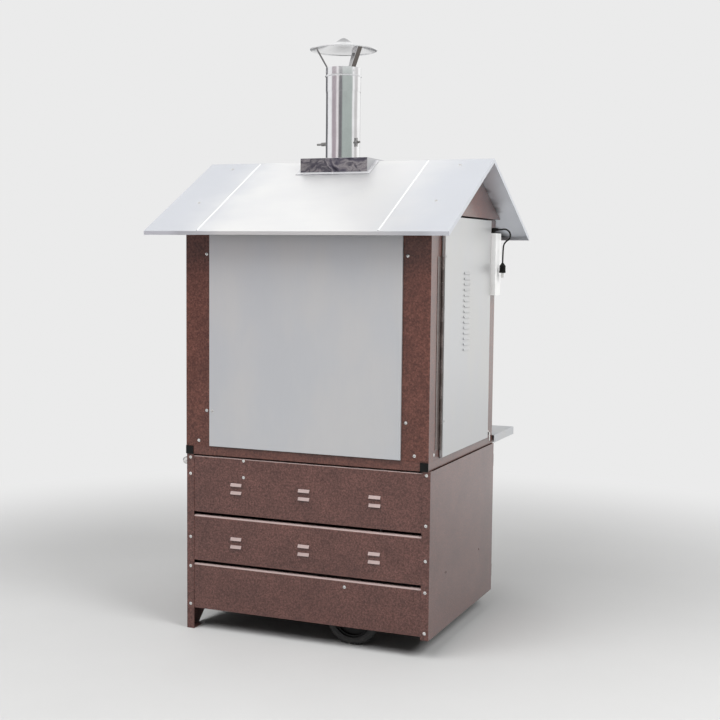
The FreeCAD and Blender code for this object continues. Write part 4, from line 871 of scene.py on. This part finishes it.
def makePlug(end, way):
    along = facing(end, way, Vector((0, 1, 0)))
    radius, length = plugShape["radius"], plugShape["length"]
    ridge, valley = radius - plugShape["ridge"], radius - plugShape["valley"]
    grip = list(plugShape["neck"])
    for i in range(plugShape["ribs"]):
        start = plugShape["ribStart"] + i * plugShape["ribPitch"]
        drop, bottom, climb = (start + edge for edge in plugShape["ribEdges"])
        grip += [(ridge, start), (ridge, drop), (valley, bottom), (valley, climb)]
    grip += zip((ridge, radius, radius), plugShape["collar"])
    grip += [(radius - plugShape["faceRound"], length), (0.0, length)]
    bm = bmesh.new()
    turn(bm, grip, plugShape["steps"], along)
    body = piece("plug_body", bm, "black_plastic", "oven", smooth=40)
    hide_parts("plug")
    foot, tip, p = length - plugShape["pinSink"], length + plugShape["pinLength"], plugShape["pinRadius"]
    angles = [math.pi / 2 * i / plugShape["tipSteps"] for i in range(plugShape["tipSteps"])]
    pin = [(0.0, foot), (p, foot)] + [(p * math.cos(a), tip - p + p * math.sin(a)) for a in angles]
    pin.append((0.0, tip))
    bm = bmesh.new()
    for side in (-0.5, 0.5):
        spot = along.copy()
        spot.translation = end + Vector((0, side * plugShape["pinSpacing"], 0))
        turn(bm, pin, plugShape["pinSteps"], spot)
    return [body, piece("plug_pins", bm, "bright_steel", "oven", smooth=50)]


# Gland: a hexagon on the box under a dome, with a ribbed nose that the lead leaves by. The dome's crown is
# radii and depths below its top, and the nose's lip is radii and distances back from its end.
glandShape = {
    "axisIn": 0.009,
    "hexRadius": 0.0089,
    "hexHeight": 0.006,
    "hexRound": 0.0006,
    "domeRadius": 0.0082,
    "domeSteps": 40,
    "crown": [(0.0082, 0.0045), (0.0074, 0.0022), (0.0055, 0.0007), (0.0030, 0.0001), (0.0, 0.0)],
    "groove": (0.0085, 0.0090, 0.0098, 0.0103),
    "grooveRadius": 0.0077,
    "noseRadius": 0.0069,
    "noseTaper": 0.0020,
    "noseSteps": 36,
    "ribs": 5,
    "ribStart": 0.0078,
    "ribRoom": 0.0090,
    "ribEdges": (0.0014, 0.0017, 0.0021),
    "ribDepth": 0.0010,
    "lip": [(0.0043, 0.0006), (0.0039, 0.0), (0.0, 0.0)],
}


def makeGland():
    low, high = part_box("lead_gland")
    centre = Vector((low.x + glandShape["axisIn"], (low.y + high.y) / 2, low.z))
    upright = Matrix.Translation(centre)
    tall, hexTop = high.z - low.z, glandShape["hexHeight"]
    bm = bmesh.new()
    bmesh.ops.create_circle(bm, cap_ends=True, segments=6, radius=glandShape["hexRadius"], matrix=upright)
    lifted = bmesh.ops.extrude_face_region(bm, geom=list(bm.faces))["geom"]
    corners = [v for v in lifted if isinstance(v, bmesh.types.BMVert)]
    bmesh.ops.translate(bm, vec=(0, 0, hexTop), verts=corners)
    bmesh.ops.bevel(bm, geom=list(bm.edges), offset=glandShape["hexRound"], segments=2, affect="EDGES")
    radius, waist = glandShape["domeRadius"], glandShape["grooveRadius"]
    dome = [(0.0, hexTop), (radius, hexTop), *zip((radius, waist, waist, radius), glandShape["groove"])]
    dome += [(r, tall - below) for r, below in glandShape["crown"]]
    turn(bm, dome, glandShape["domeSteps"], upright)
    length, ribs = lead["exit"][0] - centre.x, glandShape["ribs"]
    nose = [(0.0, 0.0), (glandShape["noseRadius"], 0.0)]
    for i in range(ribs):
        start = glandShape["ribStart"] + i * (length - glandShape["ribRoom"]) / ribs
        ridge = glandShape["noseRadius"] - glandShape["noseTaper"] * i / (ribs - 1)
        valley = ridge - glandShape["ribDepth"]
        drop, bottom, climb = (start + edge for edge in glandShape["ribEdges"])
        nose += [(ridge, start), (ridge, drop), (valley, bottom), (valley, climb)]
    nose += [(r, length - back) for r, back in glandShape["lip"]]
    level = Vector((centre.x, centre.y, lead["exit"][2]))
    turn(bm, nose, glandShape["noseSteps"], facing(level, Vector((1, 0, 0))))
    gland = piece("lead_strain_relief", bm, "black_plastic", "oven", smooth=40)
    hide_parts("lead_gland")


cable, route = makeLead()
plugPieces = makePlug(route[-1], route[-1] - route[-2])
makeGland()
print("lead, plug and gland made")


# Pan-head screws with a cross recess, seated where the CAD heads are
screwShape = {"grid": 14, "recess": 0.0011, "arm": 0.62, "armWidth": 0.20, "armDepth": 0.7, "pit": 0.35,
              "spin": 37}


# Centre, outward direction, radius and height of each head: its largest flat is the one it sits on.
# Dictionaries stand in for sets, because they keep the same order on each run.
def screwSeats():
    bm = bmesh.new()
    bm.from_mesh(nodes["screws"].data)
    bmesh.ops.remove_doubles(bm, verts=bm.verts, dist=tiny)
    unseen = dict.fromkeys(bm.faces)
    seats = []
    while unseen:
        stack = [unseen.popitem()[0]]
        island = []
        while stack:
            face = stack.pop()
            island.append(face)
            for edge in face.edges:
                for other in edge.link_faces:
                    if other in unseen:
                        unseen.pop(other)
                        stack.append(other)
        flats = {}
        for face in island:
            flats.setdefault(tuple(round(c, 3) for c in face.normal), []).append(face)
        flat = max(flats.values(), key=lambda faces: sum(face.calc_area() for face in faces))
        out = -flat[0].normal.copy()
        rim = dict.fromkeys(v for face in flat for v in face.verts)
        centre = sum((v.co for v in rim), Vector()) / len(rim)
        radius = max((v.co - centre).length for v in rim)
        height = max((v.co - centre).dot(out) for face in island for v in face.verts)
        seats.append((centre, out, radius, height))
    bm.free()
    return sorted(seats, key=lambda seat: tuple(round(c, 4) for c in seat[0]))


# A square grid drawn out to a disc and domed, so that the recess follows its rows
def addScrew(bm, centre, out, radius, height, spin):
    place = facing(centre, out) @ Matrix.Rotation(spin, 4, "Z")
    n = screwShape["grid"]
    curve = (radius * radius + height * height) / (2 * height)
    grid = []
    for i in range(n + 1):
        row = []
        for j in range(n + 1):
            s, t = 2 * i / n - 1, 2 * j / n - 1
            x, y = s * math.sqrt(1 - t * t / 2), t * math.sqrt(1 - s * s / 2)
            r = min(1.0, math.hypot(x, y))
            z = math.sqrt(max(0.0, curve * curve - (r * radius) ** 2)) - (curve - height)
            near, far = sorted((abs(s), abs(t)))
            if near < screwShape["armWidth"] / 2 + tiny and far < screwShape["arm"]:
                z -= screwShape["recess"] * (1.0 if far < screwShape["pit"] else screwShape["armDepth"])
            row.append(bm.verts.new(place @ Vector((x * radius, y * radius, z))))
        grid.append(row)
    for i in range(n):
        for j in range(n):
            bm.faces.new([grid[i][j], grid[i + 1][j], grid[i + 1][j + 1], grid[i][j + 1]])
    rim = [grid[0][n - j] for j in range(n)] + [grid[i][0] for i in range(n)]
    rim += [grid[n][j] for j in range(n)] + [grid[n - i][n] for i in range(n)]
    seat = bm.verts.new(place.translation)
    for a, b in zip(rim, rim[1:] + rim[:1]):
        bm.faces.new([a, b, seat])


def makeScrews():
    seats = screwSeats()
    bm = bmesh.new()
    for i, (centre, out, radius, height) in enumerate(seats):
        addScrew(bm, centre, out, radius, height, math.radians(screwShape["spin"] * i % 90))
    made = piece("screw_heads", bm, "bright_steel", "oven", smooth=28)
    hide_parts("screws")
    print("screws:", len(seats))


makeScrews()


# Tyres with a blocked tread and moulded sidewalls. The wall is heights above the rim, the shoulder depths
# below the tread, and the widths of all of them are shares of half the tyre's width.
tyreShape = {
    "steps": 120,
    "rimGap": 0.0003,
    "wall": [(0.0, -0.86), (0.003, -0.93), (0.0045, -0.90), (0.009, -0.98), (0.013, -1.0), (0.018, -0.955)],
    "shoulder": [(0.0035, -0.80), (0.0008, -0.72), (0.0, -0.66)],
    "outerGroove": (-0.40, -0.37, -0.27, -0.24),
    "middleGroove": (-0.04, -0.02),
    "grooveDepth": 0.0030,
    "block": 4,
    "blocksFrom": 0.38,
}


def makeTyre(name, rim, body):
    low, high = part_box(name)
    rimLow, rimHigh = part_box(rim)
    outer, half = (high.z - low.z) / 2, (high.y - low.y) / 2
    inner = (rimHigh.z - rimLow.z) / 2 + tyreShape["rimGap"]
    steps, depth = tyreShape["steps"], tyreShape["grooveDepth"]
    groove = outer - depth
    tread = [(outer - below, w) for below, w in tyreShape["shoulder"]]
    tread += zip((outer, groove, groove, outer), tyreShape["outerGroove"])
    tread += zip((outer, groove), tyreShape["middleGroove"])
    tread += [(r, -w) for r, w in reversed(tread)]
    wall = [(inner + above, w) for above, w in tyreShape["wall"]]
    profile = wall + tread + [(r, -w) for r, w in reversed(wall)]
    rows = range(len(wall) + 1, len(profile) - len(wall) - 1)

    def blocks(row, i):
        outerRow = row in rows and abs(profile[row][1]) > tyreShape["blocksFrom"]
        return -depth if outerRow and i % tyreShape["block"] == 0 else 0.0

    bm = bmesh.new()
    axle = facing((low + high) / 2, Vector((0, 1, 0)))
    rings = turn(bm, [(r, w * half) for r, w in profile], steps, axle, blocks)
    for i in range(steps):
        j = (i + 1) % steps
        bm.faces.new([rings[-1][i], rings[-1][j], rings[0][j], rings[0][i]])
    made = name.replace("wheel_", "").replace("tyre", "tread_tyre")
    tyre = piece(made, bm, "tyre_rubber", body, smooth=38)
    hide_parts(name)


makeTyre("wheel_tyre_back", "wheel_rim_back", "wheel_back")
makeTyre("wheel_tyre_front", "wheel_rim_front", "wheel_front")
print("tyres made")


# Rain cap: spun brim with a small rounded crown and a rolled rim
capShape = {
    "steps": 128,
    "roll": 0.0026,
    "rollAngles": range(80, -181, -20),
    "wall": 0.0012,
    "crownRadius": 0.044,
    "crownRise": 0.021,
    "crownSteps": 10,
    "brimAt": (0.45, 0.6, 0.8, 0.93),
    "rimSlope": 0.172,
}


def makeCap():
    low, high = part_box("rain_cap")
    axis = Vector(((low.x + high.x) / 2, (low.y + high.y) / 2, 0))
    radius, roll = (high.x - low.x) / 2, capShape["roll"]
    rimZ = low.z + roll
    crown, rise = capShape["crownRadius"], capShape["crownRise"]
    brim, slope = radius - crown, capShape["rimSlope"]
    bow = (high.z - rimZ - rise - slope * brim) / brim ** 2

    def skin(r, drop):
        # a bell on a brim that steepens inwards
        u = min(1.0, r / crown)
        bell = 1 - 3 * u * u + 2 * u ** 3
        inward = radius - max(r, crown)
        return rimZ + slope * inward + bow * inward ** 2 + rise * bell - drop

    steps = capShape["crownSteps"]
    radii = [crown * i / steps for i in range(steps + 3)] + [radius * share for share in capShape["brimAt"]]
    outside = [(r, skin(r, 0.0)) for r in radii]
    inside = [(r, skin(r, capShape["wall"])) for r in reversed(radii)]
    angles = [math.radians(angle) for angle in capShape["rollAngles"]]
    rolled = [(radius - roll + roll * math.cos(a), rimZ + roll * math.sin(a)) for a in angles]
    bm = bmesh.new()
    turn(bm, outside + rolled + inside, capShape["steps"], Matrix.Translation(axis))
    cap = piece("rain_cap_spun", bm, "polished_steel", "oven", smooth=60)
    cap.data.materials[0] = capFinish("capSteel", capLook, axis)
    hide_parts("rain_cap")
    return axis


flueAxis = makeCap()


# Rivets through the collar at each strap's foot. The head is shares of its radius and height.
rivetShape = {
    "radius": 0.0042,
    "height": 0.0018,
    "head": [(0.0, 0.0), (1.0, 0.0), (0.96, 0.45), (0.75, 0.8), (0.4, 0.96), (0.0, 1.0)],
    "steps": 20,
    "drop": 0.014,
    "sink": 0.0002,
    "footDrop": 0.02,
    "angleStep": 30,
}


def makeRivets():
    low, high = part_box("cap_collar")
    foot = [v.co - flueAxis for v in nodes["cap_collar"].data.vertices if abs(v.co.z - low.z) < close]
    wall = max(math.hypot(p.x, p.y) for p in foot)
    lowest = high.z - rivetShape["footDrop"]
    straps = [v.co - flueAxis for v in nodes["cap_straps"].data.vertices if v.co.z < lowest]
    step = rivetShape["angleStep"]
    angles = sorted({round(math.degrees(math.atan2(p.y, p.x)) / step) * step for p in straps})
    head = [(rivetShape["radius"] * r, rivetShape["height"] * h) for r, h in rivetShape["head"]]
    bm = bmesh.new()
    for angle in angles:
        out = Vector((math.cos(math.radians(angle)), math.sin(math.radians(angle)), 0))
        level = Vector((flueAxis.x, flueAxis.y, high.z - rivetShape["drop"]))
        turn(bm, head, rivetShape["steps"], facing(level + out * (wall - rivetShape["sink"]), out))
    piece("collar_rivets", bm, "polished_steel", "oven", smooth=60)
    print("rivets:", angles)


makeRivets()


# Raised lap seams where the roof sheets meet, from just below the ridge to just short of the eaves
seamShape = {
    "half": 0.0030,
    "height": 0.0012,
    "section": [(-1.0, 0.0), (-0.75, 0.7), (-0.3, 1.0), (0.3, 1.0), (0.75, 0.7), (1.0, 0.0)],
    "downSlope": (0.012, 0.5, 0.992),
}


def makeSeams():
    low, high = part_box("roof_middle")
    ridge = (low.y + high.y) / 2
    eaveZ = max(v.co.z for v in nodes["roof_middle"].data.vertices if abs(v.co.y - low.y) < close)
    section = [(seamShape["half"] * a, seamShape["height"] * b) for a, b in seamShape["section"]]
    bm = bmesh.new()
    for x in (low.x, high.x):
        for edgeY in (low.y, high.y):
            way = Vector((0, edgeY - ridge, eaveZ - high.z))
            out = way.cross(Vector((1, 0, 0))).normalized()
            out = out if out.z > 0 else -out
            rows = []
            for share in seamShape["downSlope"]:
                base = Vector((x, ridge, high.z)) + way * share
                rows.append([bm.verts.new(base + Vector((a, 0, 0)) + out * b) for a, b in section])
            for a, b in zip(rows, rows[1:]):
                for i in range(len(section) - 1):
                    bm.faces.new([a[i], a[i + 1], b[i + 1], b[i]])
                bm.faces.new([a[-1], a[0], b[0], b[-1]])
            bm.faces.new(rows[0])
            bm.faces.new(rows[-1])
    seams = piece("roof_lap_seams", bm, "polished_steel", "oven", smooth=50)
    # the seams take a lighter copy of the roof's finish: painted highlight
    seams.data.materials[0] = sheetFinish("seamHighlightSteel", seamHighlightLook)


makeSeams()
print("cap, rivets and roof seams made")


# Studio: pale floor that fades into the wall, soft lamps, a light sky for reflections
studio = {
    "wall": 0.83,
    "sky": 0.95,
    "ambient": 0.14,
    "floor": (0.50, 0.50, 0.497),
    "floorRough": 0.9,
    "floorRadius": 9.0,
    "floorSteps": 96,
    "cloudScale": 1.6,
    "cloudDepth": 0.08,
    "fade": (1.3, 3.4),
}
lamps = {
    "key": {"place": (-1.25, -3.4, 5.6), "target": (0, -0.3, 1.0), "size": 4.6, "power": 350.0},
    "overhead": {"place": (-0.4, 0.6, 5.6), "target": (0, 0, 0.8), "size": 3.2, "power": 110.0},
    "side": {"place": (3.9, -1.7, 4.0), "target": (0.4, 0, 1.0), "size": 2.6, "power": 225.0},
}

# Walls that the polished tube mirrors, each up to so many degrees round from the photograph's standpoint
walls = [
    {"to": -124, "colour": (0.15, 0.15, 0.16)},
    {"to": -80, "colour": (0.96, 0.96, 0.97)},
    {"to": -46, "colour": (0.44, 0.38, 0.41)},
    {"to": -30, "colour": (0.90, 0.86, 0.87)},
    {"to": -7, "colour": (0.17, 0.165, 0.175)},
    {"to": 64, "colour": (0.43, 0.48, 0.455)},
    {"to": 80, "colour": (1.0, 1.0, 1.0)},
    {"to": 110, "colour": (0.66, 0.645, 0.64)},
    {"to": 160, "colour": (1.1, 1.1, 1.09)},
    {"to": 180, "colour": (0.30, 0.30, 0.31)},
]
ringShape = {"distance": 8.0, "height": 3.4, "steps": 96, "soft": 4.0}
white = rgb(1.0, 1.0, 1.0)


def makeWorld():
    world = bpy.data.worlds.new("studio")
    world.use_nodes = True
    scene.world = world
    f = Finish("studio", world.node_tree)
    kinds = ("Is Camera Ray", "Is Glossy Ray", "Is Transmission Ray")
    camera, glossy, passed = (f.node("ShaderNodeLightPath", {}, {}, kind) for kind in kinds)
    ambient = studio["ambient"]
    strength = ambient + camera * (studio["wall"] - ambient) + (glossy + passed) * (studio["sky"] - ambient)
    f.feed(f.tree.nodes["Background"], {"Strength": strength, "Color": white})


def makeFloor():
    f = Finish("floorFinish")
    cloud = f.noise(studio["cloudScale"], 4.0, 0.6)
    colour = f.dim(studio["floor"], f.varied(1.0, (cloud, studio["cloudDepth"])))
    f.use({"Base Color": colour, "Roughness": studio["floorRough"]})
    far = f.within(f.length(f.place()), *studio["fade"])
    glow = f.node("ShaderNodeEmission", {}, {"Color": white, "Strength": studio["wall"]})
    f.show(f.node("ShaderNodeMixShader", {}, {0: far, 1: Wire(f, f.shader.outputs[0]), 2: glow}))
    bm = bmesh.new()
    bmesh.ops.create_circle(bm, cap_ends=True, segments=studio["floorSteps"], radius=studio["floorRadius"])
    floor = meshObject("floor", bm, f.material)


def makeRing():
    f = Finish("ringFinish")
    place = f.place()
    sides = {0: f.axis(place, "Y"), 1: f.axis(place, "X")}
    bearing = f.node("ShaderNodeMath", {"operation": "ARCTAN2"}, sides)
    stops = []
    start, soft = -180, ringShape["soft"]
    for wall in walls:
        stops += [((edge + 180) / 360, wall["colour"]) for edge in (start + soft, wall["to"] - soft)]
        start = wall["to"]
    colour = f.ramp(bearing / (2 * math.pi) + 0.5, stops)
    f.show(f.node("ShaderNodeEmission", {}, {"Color": colour, "Strength": 1.0}))
    bm = bmesh.new()
    rows = []
    for k in range(ringShape["steps"]):
        angle = 2 * math.pi * k / ringShape["steps"]
        foot = Vector((math.cos(angle), math.sin(angle), 0)) * ringShape["distance"]
        rows.append((bm.verts.new(foot), bm.verts.new(foot + Vector((0, 0, ringShape["height"])))))
    for a, b in zip(rows, rows[1:] + rows[:1]):
        bm.faces.new([a[0], b[0], b[1], a[1]])
    ring = meshObject("ring", bm, f.material)
    ring.matrix_world = Matrix((toCamera, imageRight, toCamera.cross(imageRight))).transposed().to_4x4()
    ring.visible_camera = False
    ring.visible_diffuse = False
    ring.visible_shadow = False


def makeLamp(name, look):
    lamp = bpy.data.lights.new(name, "AREA")
    lamp.shape = "SQUARE"
    lamp.size = look["size"]
    lamp.energy = look["power"]
    made = bpy.data.objects.new(name, lamp)
    place = Vector(look["place"])
    made.matrix_world = facing(place, place - Vector(look["target"]), Vector((0, 1, 0)))
    made.visible_glossy = False
    made.visible_camera = False
    scene.collection.objects.link(made)


makeWorld()
makeFloor()
makeRing()
for name, look in lamps.items():
    makeLamp(name, look)
scene.view_settings.view_transform = "Standard"
print("studio set")
